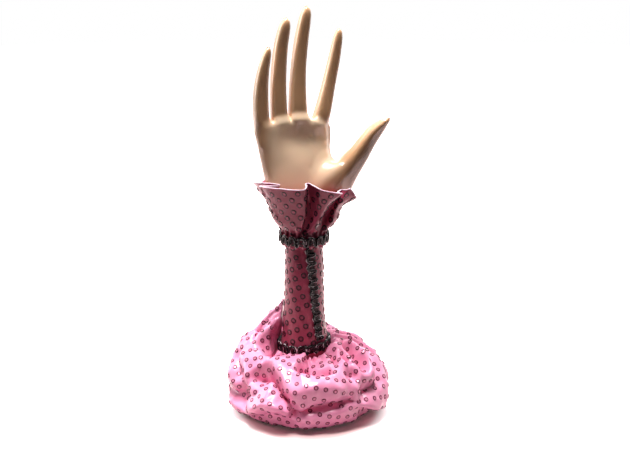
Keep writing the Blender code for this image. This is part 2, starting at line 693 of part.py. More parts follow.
def puff_rows(rows, columns):
    azimuths = [math.tau * k / columns - math.pi for k in range(columns)]
    shares = [i / (rows - 1) for i in range(rows)]
    grid = [(a, t) for t in shares for a in azimuths]
    places = np.array([puff_point(a, t) for a, t in grid])
    outwards = np.array([puff_outward(a, t) for a, t in grid])
    downwards = np.array([puff_point(a, min(1, t + 0.01)) - puff_point(a, max(0, t - 0.01)) for a, t in grid])
    downwards /= np.linalg.norm(downwards, axis=1)[:, None]
    shifts = crease_field(*zip(*grid))
    moved = places + outwards * shifts[:, :1] + downwards * shifts[:, 1:]
    clear = np.array([stem_radius(z) + SEAT_GAP + CLOTH_WALL + BRAID_THICKNESS for z in moved[:, 2]])
    radius = np.hypot(moved[:, 0], moved[:, 1])
    neck = np.array([t for _, t in grid]) < 0.02
    push = np.where(neck, 1.0, np.maximum(1.0, clear / radius))
    moved[:, :2] *= push[:, None]
    moved[:, 2] = np.maximum(moved[:, 2], PUFF_LOWEST_Z)
    return moved.reshape(rows, columns, 3)


def build_puff(finish):
    """The crumpled satin round the stand's foot."""
    rows = puff_rows(PUFF_ROWS, PUFF_COLUMNS)[::-1]
    return sheet_object("puff", [[Vector(p) for p in row] for row in rows], finish)


def build_wadding(finish):
    """The ring of fibre wadding that fills the puff, lying on the board round the forearm."""
    floor = BOARD_TOP_Z + SEAT_GAP
    inner = stem_radius(SLEEVE_HEM_Z) + SEAT_GAP
    top = PUFF_NECK_Z - WADDING_MARGIN
    edge = BOARD_RADIUS - SEAT_GAP
    profile = [
        (inner, floor),
        (edge, floor),
        (edge, floor + 0.35 * (top - floor)),
        (inner + 0.6 * (edge - inner), floor + 0.75 * (top - floor)),
        (inner + 0.3 * (edge - inner), top),
        (inner, top),
    ]
    return add_object("wadding", turned(profile, WADDING_SIDES, closed_profile=True), finish)


def serpentine(place, length, closed):
    """Sections of a flat cord that winds from side to side along a strip.

    place(distance, offset, lift) gives the point that far along the strip, off its middle line
    and above its seat.
    """
    loops = max(2, round(length / BRAID_PITCH))
    steps = loops * BRAID_STEPS_PER_LOOP
    swing = 0.5 * (BRAID_WIDTH - BRAID_CORD_WIDTH)

    def middle(k):
        turn = math.tau * k / BRAID_STEPS_PER_LOOP
        distance = length * k / steps - BRAID_LOOP_LEAN * math.sin(2 * turn)
        return distance, swing * math.sin(turn)

    sections = []
    for k in range(steps if closed else steps + 1):
        (d0, o0), (d1, o1) = middle(k - 0.5), middle(k + 0.5)
        size = math.hypot(d1 - d0, o1 - o0)
        across = (-(o1 - o0) / size * 0.5 * BRAID_CORD_WIDTH, (d1 - d0) / size * 0.5 * BRAID_CORD_WIDTH)
        d, o = middle(k)
        sections.append([
            place(d - across[0], o - across[1], 0),
            place(d + across[0], o + across[1], 0),
            place(d + 0.6 * across[0], o + 0.6 * across[1], BRAID_THICKNESS),
            place(d - 0.6 * across[0], o - 0.6 * across[1], BRAID_THICKNESS),
        ])
    return sections


def add_braid(name, place, length, closed, finish):
    bm = bmesh.new()
    add_loft(bm, serpentine(place, length, closed), closed_path=closed)
    bmesh.ops.recalc_face_normals(bm, faces=bm.faces)
    return add_object(name, bm, finish)


def build_wrist_braid(finish):
    """The braid that ties the cuff's foot, dipping a little at the front."""
    gathered = max(cuff_foot_radius(0), cuff_foot_radius(math.pi / CUFF_GATHERS))
    seat = gathered + SEAT_GAP

    def place(distance, offset, lift):
        azimuth = distance / seat
        z = WRIST_BRAID_Z - WRIST_BRAID_DIP * math.cos(azimuth) + offset
        return at_azimuth(azimuth, seat + lift, z)

    return add_braid("wrist_braid", place, math.tau * seat, True, finish)


def build_hem_braid(finish):
    """The braid round the sleeve's hem, which rises towards the right and the back."""
    length = math.tau * stem_radius(HEM_BRAID_Z)

    def place(distance, offset, lift):
        azimuth = math.tau * distance / length
        rise = 0.5 * HEM_BRAID_RISE * (1 + math.cos(azimuth - HEM_BRAID_RISE_AZIMUTH))
        z = HEM_BRAID_Z + rise + offset
        return at_azimuth(azimuth, stem_radius(z) + SEAT_GAP + lift, z)

    return add_braid("hem_braid", place, length, True, finish)


def build_seam_braid(finish):
    """The braid down the sleeve's seam, from the wrist braid to the hem braid."""
    cord_end = 0.5 * BRAID_CORD_WIDTH
    top = WRIST_BRAID_Z - WRIST_BRAID_DIP - 0.5 * BRAID_WIDTH - BRAID_END_GAP - cord_end
    rise = 0.5 * HEM_BRAID_RISE * (1 + math.cos(SEAM_FOOT_AZIMUTH - HEM_BRAID_RISE_AZIMUTH))
    foot = HEM_BRAID_Z + rise + 0.5 * BRAID_WIDTH + BRAID_END_GAP + cord_end

    def place(distance, offset, lift):
        z = top - distance
        share = distance / (top - foot)
        azimuth = SEAM_TOP_AZIMUTH + (SEAM_FOOT_AZIMUTH - SEAM_TOP_AZIMUTH) * share
        seat = stem_radius(z)
        return at_azimuth(azimuth + offset / seat, seat + SEAT_GAP + lift, z)

    return add_braid("seam_braid", place, top - foot, False, finish)


def main():
    clear_scene()
    material("helper", (0.5, 0.5, 0.5), 0.8)
    flesh = material("cast_flesh", (0.70, 0.48, 0.34), 0.3)
    satin = material("pink_satin", (0.78, 0.22, 0.40), 0.4)
    gimp = material("black_gimp", (0.03, 0.02, 0.025), 0.35)
    wood = material("board_wood", (0.55, 0.40, 0.25), 0.6)
    fibre = material("white_fibre", (0.85, 0.84, 0.80), 0.9)
    steel = material("screw_steel", (0.60, 0.60, 0.62), 0.3, 1.0)
    felt = material("dark_felt", (0.05, 0.02, 0.03), 0.95)
    build_felt(felt)
    build_board(wood)
    build_screw(steel)
    build_hand(flesh)
    build_sleeve(satin)
    build_cuff(satin)
    build_puff(satin)
    build_wadding(fibre)
    build_wrist_braid(gimp)
    build_hem_braid(gimp)
    build_seam_braid(gimp)


main()
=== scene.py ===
"""Hand-shaped jewellery stand: its finishes, its dotted satin and its gimp braid, made round the frame.

The script is laid out as an add-on and is run as a script. Each operator makes one piece or one
group of like pieces, and main() calls them in order. Lengths are in metres, +Z is up and the palm
faces -Y. An azimuth is measured from the front, -Y, and grows towards +X.
"""

import math
from dataclasses import dataclass

import bmesh
import bpy
import numpy as np
from bpy.props import FloatProperty, FloatVectorProperty, IntProperty, PointerProperty
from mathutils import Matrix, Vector, noise
from mathutils.bvhtree import BVHTree
from mathutils.geometry import delaunay_2d_cdt


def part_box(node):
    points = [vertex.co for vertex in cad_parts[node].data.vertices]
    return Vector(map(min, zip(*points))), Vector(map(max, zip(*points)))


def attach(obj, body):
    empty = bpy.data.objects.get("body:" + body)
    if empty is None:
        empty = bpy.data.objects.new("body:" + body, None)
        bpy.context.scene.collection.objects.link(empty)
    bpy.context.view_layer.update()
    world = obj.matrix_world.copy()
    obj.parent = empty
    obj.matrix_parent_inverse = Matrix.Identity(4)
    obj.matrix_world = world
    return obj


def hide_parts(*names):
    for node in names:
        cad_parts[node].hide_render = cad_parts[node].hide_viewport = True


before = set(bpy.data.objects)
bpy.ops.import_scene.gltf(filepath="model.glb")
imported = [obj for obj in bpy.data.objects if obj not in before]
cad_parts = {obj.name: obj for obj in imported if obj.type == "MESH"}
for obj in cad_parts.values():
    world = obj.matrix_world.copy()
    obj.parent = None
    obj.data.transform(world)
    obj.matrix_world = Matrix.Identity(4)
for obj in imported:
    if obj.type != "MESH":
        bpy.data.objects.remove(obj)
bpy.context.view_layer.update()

bl_info = {
    "name": "Hand jewellery stand",
    "version": (1, 0, 0),
    "blender": (4, 5, 0),
    "location": "View3D > Sidebar > Stand",
    "description": "Dresses the frame of a hand-shaped jewellery stand in dotted satin and gimp braid",
    "category": "Object",
}

MM = 0.001
BODY = "root"

# Heights and radii that the frame gives
SEAT_GAP = 0.3 * MM
CLOTH_WALL = 0.8 * MM
SLEEVE_LOW, SLEEVE_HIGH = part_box("sleeve")
HAND_FOOT_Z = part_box("hand")[0].z
WADDING_LOW, WADDING_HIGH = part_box("wadding")
FELT_LOW, FELT_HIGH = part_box("felt_pad")
BOARD_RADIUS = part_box("base_board")[1].x
SLEEVE_END_OVER_WRIST = 2.0 * MM
WRIST_Z = SLEEVE_HIGH.z - SLEEVE_END_OVER_WRIST

# Camera: where it looks and from where
CAMERA_LENS = 68.57
CAMERA_TARGET = Vector((0.0096, 0.0, 0.1667))
CAMERA_ELEVATION = math.radians(15.0)
CAMERA_DISTANCE = 1.05

# Floor: its paint as the camera sees it and as light bounces from it, and its glow
FLOOR_RADIUS = 3.0
# The camera's paint is tinted pink, as painted bounce light from the puff in the stand's shadow.
FLOOR_PAINT_WITH_PINK_BOUNCE = (0.88, 0.64, 0.62)
FLOOR_BOUNCE = (0.55, 0.44, 0.47)
FLOOR_BOUNCE_FAR = (0.04, 0.04, 0.04)
FLOOR_BOUNCE_REACH = (0.10, 0.24)
FLOOR_GLOW = 0.03
FLOOR_GLOW_REACH = (0.072, 0.094)
FLOOR_GLOW_SHIFT = (-0.0047, 0.006, 0.0)
SWEEP_EDGE = (-0.36, -0.20)

# Lamps: place, aim, the two sides and the power
LAMPS = (
    ("top_lamp", (-0.12, -0.02, 1.35), (0, 0, 0.1), (0.8, 0.45), 44.0),
    ("left_lamp", (-1.1, 0.45, 0.55), (0, 0, 0.17), (0.4, 0.9), 7.0),
    ("right_lamp", (1.1, 0.55, 0.50), (0, 0, 0.17), (0.4, 0.9), 4.0),
    ("back_lamp", (0.0, 1.3, 0.9), (0, 0, 0.15), (1.4, 0.6), 10.0),
)

# Backdrop: how far it comes round the stand, as the share of a direction that points away from the front
BACKDROP_REACH = (-0.25, 0.15)

# Hand
HAND_TURN = math.radians(20.0)
HAND_ACROSS = np.array((math.cos(HAND_TURN), math.sin(HAND_TURN), 0.0))
HAND_OUT = np.array((-math.sin(HAND_TURN), math.cos(HAND_TURN), 0.0))
TIP_ROUND = 0.12
PALM_SQUARENESS = 2.4
FINGER_SQUARENESS = 3.6
HAND_VOXEL = 0.95 * MM
HAND_SMOOTHING = 8
PALM_FAIRING = 110
PAD_SHELF = 9.0 * MM
WEB = (23.0 * MM, 67.0 * MM)
WEB_REACH = 12.0 * MM
PAD_LENGTH = 44 * MM
NAIL_TIP_CLOSING = 0.88
NAIL_HALF_ANGLE = math.radians(58)
NAIL_PROUD = 0.35 * MM
NAIL_EDGE_SINK = 0.35 * MM
NAIL_PLATE = 0.5 * MM
NAIL_ROWS = 14
NAIL_COLUMNS = 13
PALM_ROOT_INSET = 1.0 * MM
PALM_ROOT_HEIGHTS = (-6 * MM, 5 * MM)
PALM_SIDES = 64
DIGIT_RINGS = 40
DIGIT_SIDES = 32
FOREARM_SIDES = 64
FOREARM_HEAD_Z = WRIST_Z + 8 * MM

# Dots
DOT_SIDES = 14
SLEEVE_DOT_TURN = math.radians(24)
CUFF_DOT_TURN = math.radians(-38)
PUFF_DOT_TURN = math.radians(-12)
SLEEVE_DOT_SHIFT = (0.002, 0.001, 0.0)
CUFF_DOT_SHIFT = (0.0, 0.002, 0.0)
PUFF_DOT_SHIFT = (0.0, 0.0, 0.0)
SLEEVE_DOTS_END = 0.108
PUFF_NECK_WITHOUT_DOTS = 0.019

# Braids
BRAID_WIDTH = 10.5 * MM
CORD_SIDES = 10
THIN_CORD_SIDES = 6
POINTS_PER_LOOP = 28
GIMP_THREAD = 0.5 * MM
BRAID_END_GAP = 1.0 * MM
WRIST_BRAID_Z = WRIST_Z - 1.0 * MM
WRIST_BRAID_DIP = 0.6 * MM
HEM_BRAID_RISE = 4.0 * MM
HEM_BRAID_RISE_AZIMUTH = math.radians(110.0)
SEAM_TOP_AZIMUTH = math.radians(17.0)
SEAM_FOOT_AZIMUTH = math.radians(40.0)

# Sleeve
SLEEVE_COLUMNS = 200
SLEEVE_ROWS = 110
SLEEVE_PUCKER_PITCH = 9 * MM
SLEEVE_PUCKER_REACH = 0.5

# Cuff
CUFF_FRONT_COLUMN = 130
CUFF_SKIRT = 1.2 * MM
CUFF_LOW_HEIGHT = 13.5 * MM
CUFF_MIDDLE_HEIGHT = 27.5 * MM
CUFF_CLEARANCE = 1.0 * MM
CUFF_COLUMNS = 420
CUFF_ROWS = 46
CUFF_STRAIGHT_ROWS = 6
CUFF_SMOOTHING = 2
CUFF_LOW_RADIUS = 17.0 * MM
CUFF_LOW_DEPTH = 0.66
CUFF_GATHER_DEPTH = 0.9 * MM
CUFF_GATHERS = 20

# Puff
PUFF_COLUMNS = 384
PUFF_ROWS = 104
PUFF_NECK_LAP = 3.5 * MM
PUFF_OVERHANG = 15.0 * MM
PUFF_WIDEST_Z = 22.0 * MM
PUFF_UNDERSIDE_Z = 3.0 * MM
PUFF_EDGE_Z = 6.0 * MM
PUFF_EDGE_INSET = 3.5 * MM
PUFF_LOWEST_Z = 1.2 * MM
PUFF_OFFSET_X = 3.5 * MM
PUFF_FACET_ASPECT = 1.7
PUFF_FLAT_SHARES = (-0.1, 0.0, 0.06, 0.93, 1.0, 1.1)
PUFF_EAR_HALF_TURN = 30
PUFF_EAR_HEIGHT = 12.0 * MM
PUFF_EAR_LEAN = 0.58
PUFF_FOLD_SCALE = 1.3
PUFF_SMOOTHING = 1
PUFF_GATHERS = 34
PUFF_GATHER_DEPTH = 1.4
PUFF_GATHER_RISE = 2.0

# Base
FELT_SIDES = 120
WADDING_COLUMNS = 120
WADDING_ROWS = 48

# Heights that follow
SLEEVE_HEM_Z = SLEEVE_LOW.z
PUFF_NECK_Z = SLEEVE_HEM_Z + PUFF_NECK_LAP
PUFF_RADIUS = BOARD_RADIUS + PUFF_OVERHANG
HEM_BRAID_Z = PUFF_NECK_Z + 2 * BRAID_END_GAP + BRAID_WIDTH / 2
CUFF_FOOT_Z = WRIST_BRAID_Z - WRIST_BRAID_DIP - BRAID_WIDTH / 2 - CUFF_SKIRT
CUFF_FLARE_Z = WRIST_BRAID_Z + WRIST_BRAID_DIP + BRAID_WIDTH / 2 + SEAT_GAP


@dataclass
class Digit:
    """A finger or the thumb: the points of its middle line, the radius at each, and its nail."""

    line: tuple
    radii: tuple
    nail_turn: float = 0.0
    nail_length: float = 0.013
    nail_past_tip: float = 0.0


def mm(*values):
    return tuple(v * MM for v in values)


# Points of the hand: x and y from the stem's axis, z above the wrist.
DIGITS = {
    "little": Digit(
        (
            mm(-31, -12, 82), mm(-35.2, -13.5, 101), mm(-36, -15, 123), mm(-33.6, -18, 145),
            mm(-28.2, -21, 166),
        ),
        mm(7.8, 6.7, 6.2, 4.8, 2.7),
        nail_length=11 * MM,
    ),
    "ring": Digit(
        (
            mm(-19, -7, 86), mm(-21.1, -7.6, 112), mm(-21.2, -8.2, 139), mm(-18.8, -10, 166),
            mm(-13.6, -13, 189.0),
        ),
        mm(8.3, 6.8, 6.3, 5.6, 4.1),
    ),
    "middle": Digit(
        (mm(-4, -1.5, 87), mm(-5.3, -1.5, 115), mm(-4.7, -1.5, 143), mm(-1.7, -2.5, 171), mm(3.4, -5, 198)),
        mm(9.0, 7.4, 6.3, 5.6, 4.2),
    ),
    "index": Digit(
        (mm(10, 3.6, 85), mm(16.1, 6, 108), mm(21.3, 8, 131.5), mm(26.0, 8, 154), mm(30.4, 6.5, 178.6)),
        mm(8.2, 6.7, 5.5, 4.8, 3.4),
    ),
    "thumb": Digit(
        (
            mm(6, 3, 16), mm(15.5, 4, 29), mm(25.5, 3.5, 42), mm(34.6, 2.5, 56), mm(46, 2, 69.7),
            mm(54.7, 2, 83), mm(62, 1, 93), mm(72.3, -2, 103),
        ),
        mm(8, 12.5, 13.0, 11.2, 8.2, 6.7, 5.6, 3.0),
        nail_turn=math.radians(60),
        nail_length=16 * MM,
        nail_past_tip=1.0 * MM,
    ),
}

# Slices of the palm in millimetres: height, the middle of the width, half width and half depth
PALM = (
    (13, 0.5, 17.6, 16.0), (22, 0.5, 22.0, 16.5), (32, -1, 27.8, 16.5), (45, -2.5, 31.3, 15.5),
    (62, -5.2, 32.0, 13.0), (80, -8, 32.7, 11.0), (94, -9.5, 34.4, 9.5), (102, -10.8, 32.0, 7.0),
)

# Soft rises on the palm: the centre, the three half sizes, and the lean towards +X
MOUNDS = (
    (mm(17, -6.5, 44), mm(16, 10, 26), math.radians(36)),
    (mm(-18, -13, 44), mm(13, 8, 27), math.radians(-8)),
)

# The row of pads below the fingers, in millimetres: the place across, the top and the rise
PADS = (
    (-37, 104, 0), (-32, 106, 1.4), (-27, 107.5, 2.8), (-21, 109, 3.4), (-14, 110, 3.4),
    (-6, 111.5, 4.0), (2, 111, 3.8), (10, 108.5, 3.2), (18, 103, 1.8), (26, 94, 0),
)

# Valleys pressed into the palm: the line, across and above the wrist, the width and the depth
GROOVES = (
    ((mm(23, 78), mm(16, 77), mm(10, 72), mm(6, 63)), 3.6 * MM, 0.3 * MM),
    ((mm(12, 86), mm(6, 87), mm(0, 89), mm(-4, 91)), 13.0 * MM, 4.5 * MM),
    ((mm(-8, 84), mm(-12, 86), mm(-18, 88), mm(-22, 90)), 14.0 * MM, 2.0 * MM),
)

# The cuff's folds, in the order of the cloth: the azimuth at the foot, then azimuth and radius half
# way up, then azimuth, radius and height above the wrist at the rim. Where an azimuth turns back,
# the cloth folds behind itself.
CUFF_FOLDS = (
    (-104, -104, 30.0, -103, 40.5, 44.5), (-92, -92, 32.0, -91, 44.5, 46.5), (-84, -82, 29.0, -66, 38.5, 50),
    (-78, -75, 27.5, -44, 33.5, 51.0), (-74, -71, 28.0, -40, 33.0, 50.0), (-70, -69, 29.6, -58, 37.5, 48.5),
    (-64, -64, 31.5, -65, 41.5, 47.5), (-50, -46, 29.6, -46, 40.0, 48.5), (-34, -30, 28.4, -30, 38.0, 49.0),
    (-22, -14, 28.4, -14, 37.0, 48.5), (-12, 2, 29.0, 1, 36.5, 49.0), (-8, 5, 24.0, 5, 33.0, 51.0),
    (-4, 10, 17.0, 5, 26.0, 51.5), (0, 18, 16.0, 10, 25.5, 51.5), (4, 22, 20.0, 16, 29.5, 50.5),
    (8, 27, 29.5, 25, 36.0, 48.0), (15, 37, 30.0, 38, 40.5, 45.5), (26, 42, 24.0, 48.5, 44.0, 43.5),
    (38, 56, 20.0, 55, 36.0, 43.0), (50, 72, 23.0, 68, 34.5, 43.5), (60, 67, 27.5, 66, 40.0, 44.0),
    (66, 65, 31.5, 68, 43.5, 44.5), (76, 82, 34.5, 80, 46.0, 35.0), (90, 96, 33.5, 92, 43.5, 34.0),
    (106, 108, 30.0, 108, 39.5, 40.5), (120, 122, 28.5, 122, 38.5, 45.0), (138, 138, 28.0, 138, 38.5, 47.0),
    (157, 157, 24.0, 157, 32.0, 48.0), (172, 172, 21.5, 172, 29.0, 48.0), (188, 188, 26.0, 188, 35.0, 47.0),
    (206, 206, 27.5, 206, 37.0, 46.0), (222, 222, 23.0, 222, 32.5, 47.0), (238, 238, 27.5, 238, 36.5, 48.0),
)

# The crest of the puff round the stem: azimuth in degrees, and height above the puff's neck
PUFF_CRESTS = (
    (-150, 7.0), (-115, 8.0), (-85, 7.5), (-55, 4.0), (-25, 0.5), (0, -1.0), (30, 0.5), (60, 4.0),
    (95, 2.5), (140, 1.5), (180, 4.0),
)

# Ridges and valleys of the puff. Each starts with how far it sags, and goes on with its points: the
# azimuth in degrees, the share of the way from neck to underside, and the height in millimetres.
CREASES = (
    # The flap that stands against the stem on the left, and the dark hollow beside it
    (-2, (-103, 0.175, 36), (-102, 0.215, 35), (-101, 0.245, 31), (-98, 0.265, 25), (-93, 0.285, 18),
        (-87, 0.31, 12), (-80, 0.34, 9)),
    (0, (-103, 0.175, 36), (-103, 0.11, 38), (-102, 0.045, 40)),
    (0, (-98, 0.2, 21), (-94, 0.22, 14), (-89, 0.25, 9), (-84, 0.28, 5)),
    (0, (-99, 0.13, 29), (-95, 0.155, 21), (-90, 0.19, 13), (-84, 0.22, 6)),
    (-2, (-102, 0.045, 40), (-95, 0.07, 34), (-87, 0.12, 25), (-79, 0.19, 16), (-69, 0.33, 9)),
    (0, (-94, 0.06, -5), (-84, 0.09, -9), (-74, 0.13, -10), (-62, 0.18, -9), (-50, 0.2, -6)),
    (0, (-69, 0.33, 9), (-58, 0.32, 6), (-49, 0.33, 5)),
    (0, (-54, 0.25, -3), (-42, 0.17, -5), (-36, 0.1, -3)),
    # The thin fold left of the front, and the pocket under it
    (1, (-46, 0.39, 5), (-40, 0.34, 7), (-35, 0.29, 7), (-28, 0.15, 4)),
    (0, (-47, 0.45, -5), (-43, 0.42, -8), (-38, 0.41, -7)),
    # The pleats of the left flank
    (0, (-75, 0.34, 8), (-75, 0.38, 8), (-74, 0.42, 9)),
    (0, (-68, 0.43, 8), (-59, 0.45, 8), (-52, 0.48, 7), (-49, 0.51, 4)),
    (0, (-76, 0.44, 3), (-66, 0.475, 1), (-57, 0.51, 0)),
    (0, (-81, 0.47, 9), (-72, 0.51, 9), (-66, 0.55, 6)),
    (0, (-79, 0.62, 1), (-66, 0.6, -2), (-56, 0.56, -3)),
    (1, (-66, 0.67, 5), (-58, 0.69, 5), (-53, 0.71, 4)),
    (0, (-50, 0.55, -3), (-52, 0.6, -4), (-56, 0.65, -3)),
    # The arch low on the left
    (0, (-30, 0.45, 2), (-36, 0.51, 3), (-40, 0.56, 3), (-44, 0.62, 4)),
    (2, (-48, 0.71, 4), (-41, 0.64, 6), (-35, 0.6, 8), (-31, 0.57, 9), (-24, 0.57, 9),
        (-18, 0.575, 8), (-13, 0.6, 6)),
    (-1, (-52, 0.8, 0), (-39, 0.73, -1), (-30, 0.68, -1), (-20, 0.68, -1), (-13, 0.69, 0)),
    (0, (-28, 0.46, 2), (-23, 0.5, 1), (-18, 0.53, -1), (-14, 0.56, -2)),
    # The long fold that falls from the front corner, with the valley on its left
    (0, (-36, 0.37, -6), (-30, 0.42, -6), (-23, 0.48, -6), (-17, 0.53, -6), (-10, 0.61, -5)),
    (0, (-33, 0.35, 8), (-25, 0.41, 9), (-19, 0.45, 9), (-14, 0.48, 9), (-9, 0.52, 9), (-5, 0.55, 6)),
    (0, (-33, 0.35, 8), (-25, 0.29, 8), (-13, 0.23, 8), (1, 0.15, 6)),
    # The pocket in front and its rim
    (0, (1, 0.15, 6), (-8, 0.29, 8), (-12, 0.37, 8), (-12, 0.42, 8)),
    (0, (-5, 0.31, -7), (2, 0.28, -9), (8, 0.32, -8), (14, 0.36, -6), (20, 0.375, -4)),
    (0, (6, 0.16, -3), (11, 0.25, 0), (15, 0.31, 2), (19, 0.33, 3), (23, 0.28, 3), (26, 0.19, 2)),
    (0, (-12, 0.42, 8), (-6, 0.41, 9), (4, 0.42, 10), (14, 0.43, 10), (23, 0.42, 8), (28, 0.42, 8)),
    # The big pillow in front, its lower edge and the skirt under it
    (2, (-4, 0.48, 11), (7, 0.475, 12), (16, 0.48, 12), (25, 0.49, 9), (31, 0.51, 5)),
    (1, (-3, 0.57, 4), (4, 0.55, 4), (10, 0.54, 4), (20, 0.53, 3), (30, 0.53, 1)),
    (-2, (-6, 0.62, -2), (2, 0.6, -3), (11, 0.58, -3), (20, 0.57, -3), (31, 0.56, -2)),
    (0, (-5, 0.68, 3), (5, 0.66, 3), (15, 0.64, 3), (26, 0.62, 3), (35, 0.6, 3)),
    # The folds right of the front
    (0, (33, 0.18, 4), (30, 0.27, 5), (27, 0.35, 5)),
    (0, (41, 0.2, -2), (35, 0.28, -1), (31, 0.33, 1)),
    (0, (60, 0.12, 7), (50, 0.22, 8), (39, 0.3, 8), (33, 0.36, 8), (28, 0.42, 8), (29, 0.46, 8),
        (32, 0.49, 8), (36, 0.5, 8), (40, 0.48, 9), (43, 0.46, 10)),
    (0, (68, 0.16, 8), (54, 0.26, 9), (47, 0.33, 9), (44, 0.39, 9), (43, 0.46, 10)),
    (0, (43, 0.46, 10), (48, 0.48, 11), (52, 0.48, 12)),
    (0, (34, 0.385, 8), (38, 0.385, 8), (41, 0.4, 8)),
    (0, (43, 0.33, 1), (42, 0.35, 1)),
    (0, (36, 0.43, 2), (39, 0.44, 2)),
    (0, (68, 0.2, 1), (60, 0.26, -2), (55, 0.33, -4), (51, 0.4, -3), (50, 0.44, 0)),
    (0, (95, 0.1, 5), (84, 0.17, 7), (73, 0.26, 10), (65, 0.33, 11), (60, 0.39, 12), (56, 0.44, 12),
        (52, 0.48, 12)),
    (0, (86, 0.28, 2), (76, 0.35, 1), (69, 0.42, 1), (64, 0.47, 2)),
    (0, (96, 0.3, 3), (88, 0.37, 4), (80, 0.44, 6), (74, 0.5, 6), (70, 0.54, 6), (69, 0.59, 5)),
    (0, (60, 0.51, 1), (52, 0.52, -2), (43, 0.53, -2)),
    (0, (60, 0.56, 5), (52, 0.57, 5), (46, 0.57, 4)),
    (2, (37, 0.57, 3), (42, 0.61, 5), (54, 0.68, 5), (64, 0.72, 5)),
    (-2, (43, 0.66, -3), (53, 0.73, -5), (62, 0.77, -5)),
    # Folds round the back
    (0, (104, 0.22, -2), (100, 0.36, -3), (92, 0.48, -3), (88, 0.58, -2)),
    (0, (118, 0.14, 6), (112, 0.28, 6), (104, 0.42, 5), (100, 0.55, 4)),
    (0, (128, 0.18, -3), (124, 0.33, -4), (116, 0.46, -4), (112, 0.58, -2)),
    (0, (140, 0.12, 6), (138, 0.26, 7), (130, 0.4, 7), (128, 0.5, 6), (120, 0.62, 4)),
    (0, (150, 0.2, -3), (148, 0.34, -5), (140, 0.47, -4), (138, 0.58, -2)),
    (0, (160, 0.14, 9), (164, 0.28, 10), (158, 0.41, 9), (150, 0.52, 8), (150, 0.62, 4)),
    (0, (176, 0.18, -3), (178, 0.32, -5), (170, 0.45, -4), (166, 0.57, -2)),
    (0, (190, 0.12, 8), (192, 0.26, 11), (196, 0.38, 10), (186, 0.5, 8), (182, 0.62, 4)),
    (0, (206, 0.2, -4), (208, 0.34, -5), (204, 0.47, -3), (200, 0.58, -2)),
    (0, (216, 0.12, 9), (222, 0.25, 10), (220, 0.39, 10), (216, 0.51, 8), (218, 0.63, 4)),
    (0, (232, 0.18, -3), (236, 0.31, -5), (234, 0.45, -4), (232, 0.57, -2)),
    (0, (240, 0.12, 10), (248, 0.22, 11), (252, 0.35, 10), (248, 0.48, 9), (250, 0.62, 4)),
    (0, (257, 0.2, 0), (262, 0.32, -1), (264, 0.44, -3), (262, 0.56, -1)),
    (0, (267, 0.23, 12), (271, 0.33, 11), (275, 0.42, 9)),
)


# Curves and grids

def smooth_step(value):
    x = np.clip(value, 0.0, 1.0)
    return x * x * (3 - 2 * x)


def unit(vectors):
    return vectors / np.linalg.norm(vectors, axis=-1, keepdims=True)


def curve_through(points, shares, closed=False):
    """Places on the smooth curve through the given points, at shares of its spans."""
    rows = np.asarray(points, float)
    shares = np.asarray(shares, float)
    count = len(rows)
    spans = count if closed else count - 1
    first = np.floor(shares * spans).astype(int)
    if not closed:
        first = np.clip(first, 0, spans - 1)
    f = (shares * spans - first).reshape(shares.shape + (1,) * (rows.ndim - 1))

    def row(index):
        return rows[index % count] if closed else rows[np.clip(index, 0, count - 1)]

    before, start, end, after = (row(first + k) for k in (-1, 0, 1, 2))
    return 0.5 * (
        2 * start
        + (end - before) * f
        + (2 * before - 5 * start + 4 * end - after) * f**2
        + (3 * start - before - 3 * end + after) * f**3
    )


def at_azimuth(azimuth, radius, z):
    azimuth, radius, z = np.broadcast_arrays(azimuth, radius, z)
    return np.stack([radius * np.sin(azimuth), -radius * np.cos(azimuth), z], axis=-1)


def noise_field(points, scale, seed):
    """Smooth noise from -1 to 1 at each point."""
    shift = Vector((seed, 0.37 * seed, 0.71 * seed))
    flat = points.reshape(-1, 3)
    values = [noise.noise(Vector(p) * scale + shift) for p in flat]
    return np.array(values).reshape(points.shape[:-1])


def grid_normals(grid):
    """Outward directions on a grid of rows from low to high and columns round the stand."""
    round_it = np.roll(grid, -1, axis=1) - np.roll(grid, 1, axis=1)
    up = np.gradient(grid, axis=0)
    return unit(np.cross(round_it, up))


def relaxed(grid, passes):
    """The grid with each point drawn towards its neighbours. The first and last rows stay."""
    for _ in range(passes):
        round_it = 0.5 * grid + 0.25 * (np.roll(grid, 1, axis=1) + np.roll(grid, -1, axis=1))
        grid = round_it.copy()
        grid[1:-1] = 0.5 * round_it[1:-1] + 0.25 * (round_it[:-2] + round_it[2:])
    return grid


# Node trees

class Field:
    """A node's output. Arithmetic on it adds Math nodes."""

    def __init__(self, nodes, socket):
        self.nodes = nodes
        self.socket = socket

    def out(self, name):
        """Another output of the same node."""
        return Field(self.nodes, self.socket.node.outputs[name])

    def math(self, operation, *values):
        return self.nodes.add("ShaderNodeMath", {"operation": operation}, values)

    def __add__(self, other):
        return self.math("ADD", self, other)

    def __sub__(self, other):
        return self.math("SUBTRACT", self, other)

    def __rsub__(self, other):
        return self.math("SUBTRACT", other, self)

    def __mul__(self, other):
        return self.math("MULTIPLY", self, other)

    def __truediv__(self, other):
        return self.math("DIVIDE", self, other)

    __radd__ = __add__
    __rmul__ = __mul__

    def eased(self, low, high):
        """A smooth rise from 0 at low to 1 at high."""
        settings = {"interpolation_type": "SMOOTHSTEP"}
        return self.nodes.add("ShaderNodeMapRange", settings, (self, low, high, 0.0, 1.0))


